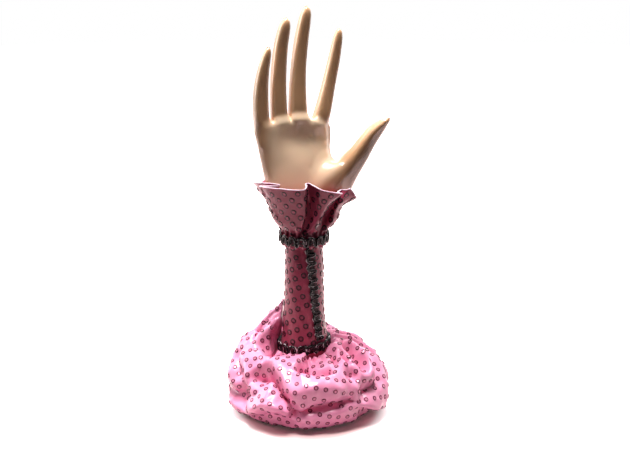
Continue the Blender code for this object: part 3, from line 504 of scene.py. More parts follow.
class Nodes:
    """Adds nodes to the tree of a material, a world or a node group, and wires each as it is added."""

    def __init__(self, owner):
        self.owner = owner
        self.tree = owner
        if hasattr(owner, "use_nodes"):
            owner.use_nodes = True
            self.tree = owner.node_tree
            self.tree.nodes.clear()

    def add(self, kind, settings=None, inputs=(), output=0):
        """A node of this kind, with its settings and its sockets' values or links."""
        made = self.tree.nodes.new(kind)
        for name, value in (settings or {}).items():
            setattr(made, name, value)
        pairs = inputs.items() if isinstance(inputs, dict) else enumerate(inputs)
        for key, value in pairs:
            if isinstance(value, Field):
                self.tree.links.new(value.socket, made.inputs[key])
            else:
                made.inputs[key].default_value = value
        return Field(self, made.outputs[output]) if made.outputs else None

    def blend(self, factor, low, high):
        """A colour between two colours."""
        return self.add("ShaderNodeMix", {"data_type": "RGBA"}, {0: factor, 6: low, 7: high}, 2)

    def noise(self, place, scale, detail=2.0):
        inputs = {"Vector": place, "Scale": scale, "Detail": detail}
        return self.add("ShaderNodeTexNoise", {}, inputs, "Fac")

    def vector(self, operation, *values):
        return self.add("ShaderNodeVectorMath", {"operation": operation}, values)

    def bump(self, height, strength, distance):
        return self.add("ShaderNodeBump", {}, {"Height": height, "Strength": strength, "Distance": distance})

    def place(self):
        return self.add("ShaderNodeTexCoord", output="Object")

    def mark(self, name):
        """A value that the mesh carries under this name."""
        return self.add("ShaderNodeAttribute", {"attribute_name": name}, (), "Fac")

    def part(self, vector, axis):
        return self.add("ShaderNodeSeparateXYZ", {}, (vector,), axis)

    def given(self, name):
        """An input of the tree."""
        return Field(self, self.tree.nodes["inputs"].outputs[name])

    def store(self, geometry, name, value, kind="FLOAT"):
        settings = {"data_type": kind, "domain": "POINT"}
        inputs = {"Geometry": geometry, "Name": name, "Value": value}
        return self.add("GeometryNodeStoreNamedAttribute", settings, inputs)

    def seen(self, mirrored_share):
        """1 for what the camera sees, and a share of that for what it sees mirrored or through glass."""
        ray = self.add("ShaderNodeLightPath", output="Is Camera Ray")
        mirrored = ray.math("MAXIMUM", ray.out("Is Glossy Ray"), ray.out("Is Transmission Ray"))
        return ray.math("MAXIMUM", ray, mirrored * mirrored_share)

    def shade(self, sockets):
        """Ends a material with a shader that has these sockets."""
        shader = self.add("ShaderNodeBsdfPrincipled", {}, sockets)
        self.add("ShaderNodeOutputMaterial", {}, {"Surface": shader})
        return self.owner

    def end_geometry(self, geometry, material):
        """Ends a tree with real geometry in this material."""
        real = self.add("GeometryNodeRealizeInstances", {}, {"Geometry": geometry})
        done = self.add("GeometryNodeSetMaterial", {}, {"Geometry": real, "Material": material})
        self.add("NodeGroupOutput", {}, {"Geometry": done})
        return self


def opaque(colour):
    return (*colour, 1.0)


def tinted(colour, *shares):
    """An opaque colour with each channel scaled, and none above 1."""
    return (*(min(1.0, share * c) for share, c in zip(shares, colour)), 1.0)


def new_material(name):
    """The nodes of a new material."""
    return Nodes(bpy.data.materials.new(name))


# Finishes

def cast_flesh(colour):
    """Glossy cast resin: a paler palm and finger sides as painted light, brown fingers, painted shade below
    the thumb.
    """
    nodes = new_material("cast_flesh")
    place = nodes.place()
    height = nodes.part(place, "Z")
    crease = nodes.mark("crease")
    mottle = nodes.noise(place, 26.0, 3.0)
    speckle = nodes.noise(place, 420.0)
    warm = tinted(colour, 1.0, 0.86, 0.84)
    pale = tinted(colour, 1.06, 1.06, 1.02)
    low_palm = 1 - height.eased(WRIST_Z + 25 * MM, WRIST_Z + 85 * MM)
    # Painted light: the palm's front and the fingers' sides are paler.
    palm = nodes.mark("pale")
    # Painted shade: darker below the thumb.
    under = nodes.mark("under")
    base = nodes.blend(mottle.eased(0.35, 0.7), opaque(colour), pale)
    base = nodes.blend(palm * 0.95, base, (0.97, 0.69, 0.47, 1.0))
    base = nodes.blend(under * 0.85, base, (0.26, 0.135, 0.07, 1.0))
    base = nodes.blend(low_palm * 0.45, base, warm)
    # Darker in the fine palm crease.
    base = nodes.blend(crease * 0.12, base, tinted(colour, 0.55, 0.38, 0.32))
    return nodes.shade({
        "Base Color": base,
        "Roughness": 0.24 + mottle * 0.10 + speckle * 0.05,
        "Normal": nodes.bump(speckle, 0.05, 0.3 * MM),
        "IOR": 1.5,
        "Coat Weight": 0.5,
        "Coat Roughness": 0.08,
        "Subsurface Weight": 0.10,
        "Subsurface Radius": (0.006, 0.003, 0.0015),
        "Subsurface Scale": 0.5,
    })


def nail_lacquer(colour):
    nodes = new_material("nail_lacquer")
    place = nodes.place()
    cloud = nodes.noise(place, 160.0)
    pale = tinted(colour, 1.12, 1.1, 1.02)
    return nodes.shade({
        "Base Color": nodes.blend(cloud, opaque(colour), pale),
        "Roughness": 0.16 + cloud * 0.08,
        "Coat Weight": 0.5,
        "Coat Roughness": 0.06,
    })


def pink_satin(name, colour, thread, gloss):
    """Satin: a tight weave that shines, with slubs across it and a pale cut edge."""
    nodes = new_material(name)
    weave = nodes.add("ShaderNodeUVMap", {"uv_map": "cloth"})
    place = nodes.place()
    edge = nodes.mark("cut_edge")
    settings = {"wave_type": "BANDS", "bands_direction": "Y"}
    inputs = {"Vector": weave, "Scale": 0.5 / thread, "Distortion": 1.5, "Detail": 1.0}
    threads = nodes.add("ShaderNodeTexWave", settings, inputs, "Fac")
    streaks = nodes.noise(nodes.vector("MULTIPLY", weave, (60.0, 700.0, 1.0)), 1.0)
    crinkle = nodes.noise(place, 150.0, 3.0)
    cloud = nodes.noise(place, 24.0)
    deep = tinted(colour, 0.90, 0.72, 0.80)
    pale = tinted(colour, 1.04, 1.35, 1.20)
    base = nodes.blend(streaks * 0.12 + cloud * 0.88, deep, pale)
    base = nodes.blend(edge.eased(0.2, 0.8), base, (0.94, 0.80, 0.86, 1.0))
    relief = crinkle * 0.95 + threads * 0.02 + streaks * 0.03
    return nodes.shade({
        "Base Color": base,
        "Roughness": 0.24 + streaks * 0.05 + edge * 0.30,
        "Normal": nodes.bump(relief, 0.35, 0.9 * MM),
        "Specular IOR Level": gloss,
        "Sheen Weight": 0.10,
        "Sheen Roughness": 0.35,
        "Sheen Tint": (1.0, 0.72, 0.86, 1.0),
    })


def foil_dot(name, dome, rim, rim_start):
    """The raised foil dots: a dome in a darker rim, which starts at a share of the dot's radius."""
    nodes = new_material(name)
    place = nodes.place()
    reach = nodes.mark("reach")
    scuff = nodes.noise(place, 700.0)
    return nodes.shade({
        "Base Color": nodes.blend(reach.eased(rim_start, rim_start + 0.28), opaque(dome), opaque(rim)),
        "Metallic": 0.20 - reach.eased(0.35, 0.8) * 0.15,
        "Roughness": 0.16 + scuff * 0.12,
        "Specular IOR Level": 0.22,
    })


def gimp_cord(colour, thread):
    """Glossy rayon thread wound slantwise round a core, with painted glints on the edge cords and painted
    sheen on the thread's crowns.
    """
    nodes = new_material("black_gimp")
    length = nodes.mark("length")
    turn = nodes.mark("turn")
    place = nodes.place()
    wound = (length / thread + turn * 2.0).math("FRACT", length / thread + turn * 2.0)
    ridge = (wound - 0.5) * (wound - 0.5) * -4.0 + 1.0
    cloud = nodes.noise(place, 300.0)
    # Partly random tone, partly painted sheen: paler on the crowns of the wound thread.
    pale = tinted(colour, 3.0, 2.2, 2.4)
    edging = nodes.mark("edging")
    base = nodes.blend(cloud * ridge, opaque(colour), pale)
    return nodes.shade({
        # Painted glints: the edge cords turn near white in patches.
        "Base Color": nodes.blend(edging * cloud.eased(0.50, 0.57), base, (0.95, 0.80, 0.82, 1.0)),
        "Roughness": 0.10 + cloud * 0.08,
        "Normal": nodes.bump(ridge, 0.25, 0.08 * MM),
        "Specular IOR Level": 0.22,
        "Coat Weight": 0.10,
        "Coat Roughness": 0.05,
    })


def cut_edge_thread(colour):
    nodes = new_material("cut_edge_thread")
    fray = nodes.noise(nodes.place(), 600.0, 3.0)
    return nodes.shade({
        "Base Color": nodes.blend(fray.eased(0.45, 0.75), opaque(colour), tinted(colour, 1.0, 0.65, 0.78)),
        "Roughness": 0.55 + fray * 0.2,
        "Normal": nodes.bump(fray, 0.5, 0.3 * MM),
    })


def board_wood(colour):
    """Plywood: grain along X, with darker rings."""
    nodes = new_material("board_wood")
    place = nodes.place()
    settings = {"wave_type": "BANDS", "bands_direction": "Y"}
    grain_place = nodes.vector("MULTIPLY", place, (0.12, 1.0, 1.0))
    inputs = {"Vector": grain_place, "Scale": 90.0, "Distortion": 6.0, "Detail": 3.0}
    grain = nodes.add("ShaderNodeTexWave", settings, inputs, "Fac")
    pores = nodes.noise(nodes.vector("MULTIPLY", place, (0.08, 1.0, 1.0)), 900.0)
    dark = tinted(colour, 0.62, 0.55, 0.48)
    return nodes.shade({
        "Base Color": nodes.blend(grain * 0.5 + pores * 0.3, opaque(colour), dark),
        "Roughness": 0.55 + pores * 0.2,
        "Normal": nodes.bump(pores, 0.2, 0.4 * MM),
    })


def screw_steel(colour):
    nodes = new_material("screw_steel")
    place = nodes.place()
    brushed = nodes.noise(nodes.vector("MULTIPLY", place, (1.0, 1.0, 6.0)), 500.0)
    dark = tinted(colour, 0.7, 0.7, 0.7)
    return nodes.shade({
        "Base Color": nodes.blend(brushed, opaque(colour), dark),
        "Metallic": 1.0,
        "Roughness": 0.25 + brushed * 0.2,
    })


def soft_fibre(name, colour, scale, depth):
    """Felt or wadding: matted fibres, rough and without shine."""
    nodes = new_material(name)
    place = nodes.place()
    tufts = nodes.noise(place, scale, 5.0)
    hairs = nodes.noise(nodes.vector("MULTIPLY", place, (1.0, 0.15, 0.4)), 6.0 * scale)
    dark = tinted(colour, 0.65, 0.62, 0.60)
    return nodes.shade({
        "Base Color": nodes.blend(tufts * 0.7 + hairs * 0.3, dark, opaque(colour)),
        "Roughness": 0.85 + hairs * 0.12,
        "Normal": nodes.bump(tufts * 0.6 + hairs * 0.4, 0.7, depth),
        "Sheen Weight": 0.4,
        "Sheen Roughness": 0.5,
    })


# Making pieces

def link(obj):
    bpy.context.scene.collection.objects.link(obj)
    return obj


def evaluated_mesh(obj, name):
    """The object's mesh with its modifiers applied. The object is removed."""
    graph = bpy.context.evaluated_depsgraph_get()
    mesh = bpy.data.meshes.new_from_object(obj.evaluated_get(graph), depsgraph=graph)
    mesh.name = name
    bpy.data.objects.remove(obj)
    return mesh


def add_piece(name, mesh, material=None, replaced=()):
    """A piece of the stand, smooth shaded, riding on its body in the finish it is given."""
    obj = link(bpy.data.objects.new(name, mesh))
    mesh.shade_smooth()
    if material:
        mesh.materials.clear()
        mesh.materials.append(material)
    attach(obj, BODY)
    if replaced:
        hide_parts(*replaced)
    return obj


def mesh_of(bm, name):
    """The mesh of a bmesh, with its faces turned outwards. The bmesh is freed."""
    bmesh.ops.recalc_face_normals(bm, faces=bm.faces)
    mesh = bpy.data.meshes.new(name)
    bm.to_mesh(mesh)
    bm.free()
    return mesh


def mark_mesh(mesh, name, values):
    """Gives each vertex a value for the finish to read."""
    mesh.attributes.new(name, "FLOAT", "POINT").data.foreach_set("value", values.astype(np.float32))


def add_skin(bm, rings):
    """Joins rings of points into a skin and gives their vertices."""
    loops = [[bm.verts.new(point) for point in ring] for ring in rings]
    sides = len(loops[0])
    for near, far in zip(loops, loops[1:]):
        for k in range(sides):
            after = (k + 1) % sides
            bm.faces.new((near[k], near[after], far[after], far[k]))
    return loops


def add_loft(bm, rings):
    """A skin with a flat cap on each end."""
    loops = add_skin(bm, rings)
    bm.faces.new(reversed(loops[0]))
    bm.faces.new(loops[-1])


def band_mesh(name, grid, chart=None, edge_rows=None):
    """A closed band of cloth from a grid of rows and columns, seen from outside.

    The chart gives each grid point its place on the flat cloth, with one column more than the grid
    so that the band's seam closes. edge_rows gives how much of a cut edge each row is.
    """
    rows, columns, _ = grid.shape
    index = np.arange(rows * columns).reshape(rows, columns)
    after = np.roll(index, -1, axis=1)
    faces = np.stack([index[:-1], after[:-1], after[1:], index[1:]], axis=-1).reshape(-1, 4)
    mesh = bpy.data.meshes.new(name)
    mesh.from_pydata(grid.reshape(-1, 3), [], faces.tolist())
    if chart is not None:
        corners = np.stack([chart[:-1, :-1], chart[:-1, 1:], chart[1:, 1:], chart[1:, :-1]], axis=2)
        layer = mesh.uv_layers.new(name="cloth")
        layer.data.foreach_set("uv", corners.reshape(-1).astype(np.float32))
    if edge_rows is not None:
        mark_mesh(mesh, "cut_edge", np.repeat(edge_rows, columns))
    return mesh


def cloth_chart(grid, front_column):
    """Each point's place on the flat cloth: its way along the row from the front, and up the column."""
    closed = np.concatenate([grid, grid[:, :1]], axis=1)
    along = np.linalg.norm(np.diff(closed, axis=1), axis=2)
    u = np.concatenate([np.zeros((len(grid), 1)), np.cumsum(along, axis=1)], axis=1)
    u -= u[:, front_column][:, None]
    up = np.linalg.norm(np.diff(closed, axis=0), axis=2).mean(axis=1)
    v = np.concatenate([[0], np.cumsum(up)])
    return np.stack([u, np.broadcast_to(v[:, None], u.shape)], axis=-1)


def flat_size(chart):
    """The width and length of the flat cloth's box, and the cloth's own area."""
    u, v = chart[..., 0], chart[..., 1]
    lengths = u[:, -1] - u[:, 0]
    heights = v[:, 0]
    area = float(np.sum(0.5 * (lengths[1:] + lengths[:-1]) * np.diff(heights)))
    return (float(lengths.max()), float(heights[-1])), area


def thickened(obj):
    """The cloth's wall, laid inwards."""
    wall = obj.modifiers.new("wall", "SOLIDIFY")
    wall.thickness = CLOTH_WALL
    wall.offset = -1
    wall.use_even_offset = False
    return obj


# Stem

def stem_profile():
    """The sleeve's outer radius at each of its heights, from the frame."""
    widest = {}
    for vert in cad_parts["sleeve"].data.vertices:
        height = round(vert.co.z, 5)
        widest[height] = max(widest.get(height, 0.0), math.hypot(vert.co.x, vert.co.y))
    heights = sorted(widest)
    return heights, [widest[z] for z in heights]


STEM_PROFILE = stem_profile()


def stem_radius(z):
    return np.interp(z, *STEM_PROFILE)


def forearm_radius(z):
    return stem_radius(z) - CLOTH_WALL - SEAT_GAP


# Hand

def digit_frames(digit, shares):
    """Places on a digit's middle line, its radius there, and its along, side and back directions."""
    line = np.array(digit.line) + (0, 0, WRIST_Z)
    places = curve_through(line, shares)
    step = 0.02
    along = unit(
        curve_through(line, np.clip(shares + step, 0, 1)) - curve_through(line, np.clip(shares - step, 0, 1))
    )
    side = unit(HAND_ACROSS - along * (along @ HAND_ACROSS)[:, None])
    back = np.cross(along, side)
    radii = curve_through(np.array(digit.radii)[:, None], shares)[:, 0]
    return places, radii, along, side, back


def digit_rings(digit):
    """Rounded rings along a digit, closing to a round tip."""
    shares = 1 - (1 - np.linspace(0, 1, DIGIT_RINGS)) ** 1.6
    shares = np.minimum(shares, 1 - 0.015 * TIP_ROUND)
    places, radii, _, side, back = digit_frames(digit, shares)
    over = np.clip((shares - 1 + TIP_ROUND) / TIP_ROUND, 0, None)
    radii = radii * np.sqrt(1 - over**2)
    angles = np.linspace(0, math.tau, DIGIT_SIDES, endpoint=False)
    c, s = np.cos(angles), np.sin(angles)
    squared = (abs(c) ** FINGER_SQUARENESS + abs(s) ** FINGER_SQUARENESS) ** (-1 / FINGER_SQUARENESS)
    ring = side[:, None] * (c * squared)[:, None] + back[:, None] * (s * squared)[:, None]
    return places[:, None] + ring * radii[:, None, None]


def palm_rings():
    """Oval slices of the palm, turned with the hand, rooted inside the forearm."""
    root = float(forearm_radius(WRIST_Z)) - PALM_ROOT_INSET
    angles = np.linspace(0, math.tau, PALM_SIDES, endpoint=False)
    c, s = np.cos(angles), np.sin(angles)
    slices = [(z, 0, root, root, 1) for z in PALM_ROOT_HEIGHTS]
    slices += [(*mm(*row), 2 / PALM_SQUARENESS) for row in PALM]
    rings = []
    for z, x, half_width, half_depth, power in slices:
        middle = np.array((x, x * math.tan(HAND_TURN), WRIST_Z + z))
        wide = HAND_ACROSS * (half_width * np.sign(c) * abs(c) ** power)[:, None]
        rings.append(middle + wide + HAND_OUT * (half_depth * np.sign(s) * abs(s) ** power)[:, None])
    return rings


def add_mound(bm, centre, half, lean):
    made = bmesh.ops.create_uvsphere(bm, u_segments=32, v_segments=20, radius=1.0)["verts"]
    bmesh.ops.scale(bm, verts=made, vec=half)
    c, s = math.cos(lean), math.sin(lean)
    for vert in made:
        x, z = vert.co.x, vert.co.z
        vert.co = Vector((x * c + z * s, vert.co.y, z * c - x * s + WRIST_Z)) + Vector(centre)


def forearm_rings():
    angles = np.linspace(0, math.tau, FOREARM_SIDES, endpoint=False)
    return [at_azimuth(angles, forearm_radius(z), z) for z in np.linspace(HAND_FOOT_Z, FOREARM_HEAD_Z, 30)]


def distance_to_line(points, line):
    """Each point's distance to a line of straight spans."""
    best = np.full(len(points), np.inf)
    for start, end in zip(line, line[1:]):
        span = end - start
        share = np.clip(((points - start) @ span) / (span @ span), 0, 1)
        best = np.minimum(best, np.linalg.norm(points - start - share[:, None] * span, axis=1))
    return best


def vertex_values(mesh, name):
    """Three values of each vertex, such as its place or its normal."""
    values = np.empty(len(mesh.vertices) * 3, np.float32)
    mesh.vertices.foreach_get(name, values)
    return values.reshape(-1, 3).astype(float)


def move_vertices(mesh, places):
    mesh.vertices.foreach_set("co", places.reshape(-1).astype(np.float32))
    mesh.update()


def carve_palm(mesh):
    """Presses the grooves into the palm's front, and marks them and where the finish paints light and shade.
    """
    places, normals = vertex_values(mesh, "co"), vertex_values(mesh, "normal")
    front = smooth_step((-(normals @ HAND_OUT) - 0.1) / 0.5)
    chart = np.stack([places[:, 0], places[:, 2] - WRIST_Z], axis=1)
    x, z = chart.T
    mark = np.zeros(len(places))
    across, tops, rises = np.array(PADS).T * MM
    below = np.interp(x, across, tops) - z
    swell = smooth_step(below / PAD_SHELF) * smooth_step((PAD_LENGTH - below) / (0.85 * PAD_LENGTH))
    pressed = -np.interp(x, across, rises) * swell * front
    for points, width, depth in GROOVES:
        line = curve_through(points, np.linspace(0, 1, 24))
        share = np.exp(-((distance_to_line(chart, line) / width) ** 2))
        pressed += depth * share * front
        mark = np.maximum(mark, share**4 * front * (width < 4 * MM))
    move_vertices(mesh, places - normals * pressed[:, None])
    # Where the finish paints light: the palm's front below the pads, and the fingers' sides high up.
    pale = front * smooth_step((z - 10 * MM) / (30 * MM)) * smooth_step((below + 2 * MM) / (7 * MM))
    pale *= smooth_step((42 * MM - x) / (18 * MM)) * smooth_step((x + 37 * MM) / (14 * MM))
    sides = smooth_step((abs(normals @ HAND_ACROSS) - 0.35) / 0.4)
    # Where the finish paints shade: the thumb's lower side.
    under = smooth_step(((chart - mm(17, 52)) @ (0.66, -0.75) + 3 * MM) / (9 * MM))
    under *= smooth_step((x - 2 * MM) / (16 * MM)) * smooth_step((104 * MM - z) / (10 * MM))
    mark_mesh(mesh, "crease", mark)
    mark_mesh(mesh, "pale", np.maximum(pale, 0.4 * sides * smooth_step((z - 80 * MM) / (20 * MM))))
    mark_mesh(mesh, "under", under)


def faired_palm(mesh):
    """Smooths the palm's two faces and leaves its edges, the digits and the forearm as they are."""
    places = vertex_values(mesh, "co")
    facing = abs(vertex_values(mesh, "normal") @ HAND_OUT)
    ends = np.empty(len(mesh.edges) * 2, np.int32)
    mesh.edges.foreach_get("vertices", ends)
    first, second = ends.reshape(-1, 2).T
    count = len(places)
    near = np.bincount(first, minlength=count) + np.bincount(second, minlength=count)
    height = places[:, 2] - WRIST_Z
    share = smooth_step((height - 6 * MM) / (20 * MM)) * smooth_step((104 * MM - height) / (10 * MM))
    share *= smooth_step((44 * MM - places[:, 0]) / (16 * MM)) * smooth_step((facing - 0.1) / 0.8)
    web = np.hypot(places[:, 0] - WEB[0], height - WEB[1]) / WEB_REACH
    share = np.maximum(share, np.exp(-(web**4)))
    for _ in range(PALM_FAIRING):
        sums = np.stack([
            np.bincount(first, places[second, k], count) + np.bincount(second, places[first, k], count)
            for k in range(3)
        ], axis=1)
        places += (0.6 * share)[:, None] * (sums / near[:, None] - places)
    move_vertices(mesh, places)


def hand_mesh():
    """The cast hand and forearm: palm, mounds and digits melted together."""
    bm = bmesh.new()
    add_loft(bm, palm_rings())
    add_loft(bm, forearm_rings())
    for digit in DIGITS.values():
        add_loft(bm, digit_rings(digit))
    for mound in MOUNDS:
        add_mound(bm, *mound)
    obj = link(bpy.data.objects.new("hand_form", mesh_of(bm, "hand_form")))
    melt = obj.modifiers.new("melt", "REMESH")
    melt.mode = "VOXEL"
    melt.voxel_size = HAND_VOXEL
    fair = obj.modifiers.new("fair", "SMOOTH")
    fair.factor = 0.5
    fair.iterations = HAND_SMOOTHING
    mesh = evaluated_mesh(obj, "cast_hand")
    faired_palm(mesh)
    carve_palm(mesh)
    return mesh


def nail_grid(digit):
    """A nail plate over a fingertip's back: rows from cuticle to free edge."""
    line = np.array(digit.line)
    length = np.linalg.norm(np.diff(curve_through(line, np.linspace(0, 1, 60)), axis=0), axis=1).sum()
    start = 1 - digit.nail_length / length
    shares = np.linspace(start, 1, NAIL_ROWS)
    places, radii, along, side, back = digit_frames(digit, shares)
    over = np.clip((shares - 1 + TIP_ROUND) / TIP_ROUND, 0, None)
    radii = radii * np.sqrt(1 - (NAIL_TIP_CLOSING * over) ** 2)
    s = np.linspace(0, 1, NAIL_ROWS)
    places = places + along * (s**2 * digit.nail_past_tip)[:, None]
    outline = np.sqrt(np.clip(1 - (1 - np.minimum(s / 0.3, 1)) ** 2, 0.02, 1))
    outline *= np.sqrt(np.clip(1 - np.clip((s - 0.55) / 0.45, 0, 1) ** 2, 0.03, 1))
    across = np.linspace(-1, 1, NAIL_COLUMNS)
    angle = digit.nail_turn + across[None, :] * NAIL_HALF_ANGLE * outline[:, None]
    plate = NAIL_PROUD * (1 - 0.7 * abs(across[None, :]) ** 3)
    lift = radii[:, None] + plate - NAIL_EDGE_SINK * (1 - outline[:, None])
    return (
        places[:, None]
        + side[:, None] * (np.sin(angle) * lift)[..., None]
        + back[:, None] * (np.cos(angle) * lift)[..., None]
    )


def nails_mesh():
    bm = bmesh.new()
    for digit in DIGITS.values():
        grid = nail_grid(digit)
        verts = [[bm.verts.new(p) for p in row] for row in grid]
        for low, high in zip(verts, verts[1:]):
            for k in range(len(low) - 1):
                bm.faces.new((low[k], low[k + 1], high[k + 1], high[k]))
    return mesh_of(bm, "nails")


# Cuff

def cuff_foot_radius(azimuth):
    seat = stem_radius(CUFF_FOOT_Z) + SEAT_GAP + CLOTH_WALL
    return seat + CUFF_GATHER_DEPTH * (1 + np.cos(CUFF_GATHERS * azimuth))


def cuff_grid(hand):
    """The pleated cuff: a band that flares from the gathered foot through its folds to the rim."""
    feet, lows, middles, rims = [], [], [], []
    for foot, middle, middle_radius, rim, rim_radius, height in CUFF_FOLDS:
        feet.append(foot)
        low_radius = CUFF_LOW_RADIUS + CUFF_LOW_DEPTH * (middle_radius * MM - CUFF_LOW_RADIUS)
        lows.append(at_azimuth(math.radians(0.5 * (foot + middle)), low_radius, WRIST_Z + CUFF_LOW_HEIGHT))
        middles.append(at_azimuth(math.radians(middle), middle_radius * MM, WRIST_Z + CUFF_MIDDLE_HEIGHT))
        rims.append(at_azimuth(math.radians(rim), rim_radius * MM, WRIST_Z + height * MM))
    turns = np.arange(CUFF_COLUMNS) / CUFF_COLUMNS
    spans = np.append(feet, feet[0] + 360.0)
    azimuths = np.radians(np.interp(turns * len(feet), np.arange(len(spans)), spans))
    bends = at_azimuth(azimuths, cuff_foot_radius(azimuths), CUFF_FLARE_Z)
    lows = curve_through(lows, turns, closed=True)
    middles = curve_through(middles, turns, closed=True)
    tops = curve_through(rims, turns, closed=True)
    straight = [
        at_azimuth(azimuths, cuff_foot_radius(azimuths), CUFF_FOOT_Z + (CUFF_FLARE_Z - CUFF_FOOT_Z) * share)
        for share in np.linspace(0, 1, CUFF_STRAIGHT_ROWS, endpoint=False)
    ]
    flares = np.linspace(0, 1, CUFF_ROWS - CUFF_STRAIGHT_ROWS)
    flared = curve_through(np.stack([bends, lows, middles, tops]), flares)
    grid = relaxed(np.concatenate([straight, flared]), CUFF_SMOOTHING)
    normals = grid_normals(grid)
    loose = smooth_step((grid[..., 2] - CUFF_FLARE_Z) / (20 * MM))
    crumple = noise_field(grid, 70.0, 3.0) * 0.9 + noise_field(grid, 170.0, 8.0) * 0.35
    grid += normals * (crumple * loose * MM)[..., None]
    return clear_of(grid, hand, CLOTH_WALL + CUFF_CLEARANCE)


def clear_of(grid, obj, gap):
    """The grid with the points that lie within the gap of an object moved out to it."""
    tree = BVHTree.FromObject(obj, bpy.context.evaluated_depsgraph_get())
    flat = grid.reshape(-1, 3)
    for index, point in enumerate(flat):
        near, normal, _, _ = tree.find_nearest(Vector(point), 0.02)
        if near is not None:
            height = (Vector(point) - near).dot(normal)
            if height < gap:
                flat[index] = near + normal * gap
    return flat.reshape(grid.shape)


# Puff

def puff_crest(azimuth):
    """The crest's height above the neck at this azimuth, eased between its named heights."""
    degrees = (math.degrees(azimuth) + 150) % 360 - 150
    stops = [*PUFF_CRESTS, (PUFF_CRESTS[0][0] + 360, PUFF_CRESTS[0][1])]
    for (a0, z0), (a1, z1) in zip(stops, stops[1:]):
        if degrees <= a1:
            return (z0 + (z1 - z0) * smooth_step((degrees - a0) / (a1 - a0))) * MM
    return stops[-1][1] * MM


def puff_base(azimuths, shares):
    """The puff before its folds: share 0 is its neck and 1 lies under the board's edge."""
    crests = PUFF_NECK_Z + np.array([puff_crest(a) for a in azimuths])
    neck = stem_radius(PUFF_NECK_Z) + SEAT_GAP + CLOTH_WALL
    foot = BOARD_RADIUS + SEAT_GAP + CLOTH_WALL
    spread = PUFF_RADIUS - neck
    level = np.ones(len(azimuths))
    line = np.array([
        (neck * level, PUFF_NECK_Z * level),
        ((neck + 0.25 * spread) * level, crests),
        ((neck + 0.68 * spread) * level, PUFF_WIDEST_Z + 0.72 * (crests - PUFF_WIDEST_Z)),
        (PUFF_RADIUS * level, PUFF_WIDEST_Z * level),
        ((PUFF_RADIUS - PUFF_EDGE_INSET) * level, PUFF_EDGE_Z * level),
        (foot * level, PUFF_UNDERSIDE_Z * level),
    ])
    radius, z = np.moveaxis(curve_through(line, shares), 1, 0)
    place = at_azimuth(azimuths[None, :], radius, z)
    off_centre = smooth_step((radius - neck) / spread) * smooth_step((1 - shares[:, None]) / 0.25)
    place[..., 0] += PUFF_OFFSET_X * off_centre
    return place


def crease_field(azimuths, shares):
    """Height and sag at each point of the puff: flat facets between the creases."""
    spots, values, edges = [], [], []

    def add(azimuth, share, height, sag):
        spots.append(Vector((azimuth / 60, share * PUFF_FACET_ASPECT)))
        values.append((height, sag))

    for turn in (-360, 0, 360):
        for sag, *line in CREASES:
            for index, (azimuth, share, height) in enumerate(line):
                add(azimuth + turn, share, height, sag)
                if index:
                    edges.append((len(spots) - 2, len(spots) - 1))
    for share in PUFF_FLAT_SHARES:
        for azimuth in range(-540, 541, 20):
            if share != PUFF_FLAT_SHARES[2] or abs((azimuth + 280) % 360 - 180) > PUFF_EAR_HALF_TURN:
                add(azimuth, share, 0, 0)
    points, _, faces, sources, _, _ = delaunay_2d_cdt(spots, edges, [], 0, 1e-5)
    known = np.array([
        np.mean([values[i] for i in source], axis=0) if source else (0, 0) for source in sources
    ])
    corners = np.array([point[:] for point in points])
    wanted = np.stack([np.degrees(azimuths) / 60, shares * PUFF_FACET_ASPECT], axis=-1).reshape(-1, 2)
    found = np.zeros((len(wanted), 2))
    lowest, highest = wanted.min(axis=0), wanted.max(axis=0)
    for face in faces:
        a, b, c = corners[list(face)]
        low, high = np.minimum(np.minimum(a, b), c), np.maximum(np.maximum(a, b), c)
        area = (b[0] - a[0]) * (c[1] - a[1]) - (b[1] - a[1]) * (c[0] - a[0])
        if abs(area) < 1e-12 or (high < lowest).any() or (low > highest).any():
            continue
        near = np.flatnonzero(((wanted >= low - 1e-6) & (wanted <= high + 1e-6)).all(axis=1))
        gap = wanted[near] - a
        v = (gap[:, 0] * (c[1] - a[1]) - gap[:, 1] * (c[0] - a[0])) / area
        w = ((b[0] - a[0]) * gap[:, 1] - (b[1] - a[1]) * gap[:, 0]) / area
        inside = (v >= -1e-6) & (w >= -1e-6) & (v + w <= 1 + 1e-6)
        weights = np.stack([1 - v - w, v, w], axis=1)[inside]
        found[near[inside]] = weights @ known[list(face)]
    return found.reshape(*azimuths.shape, 2) * MM


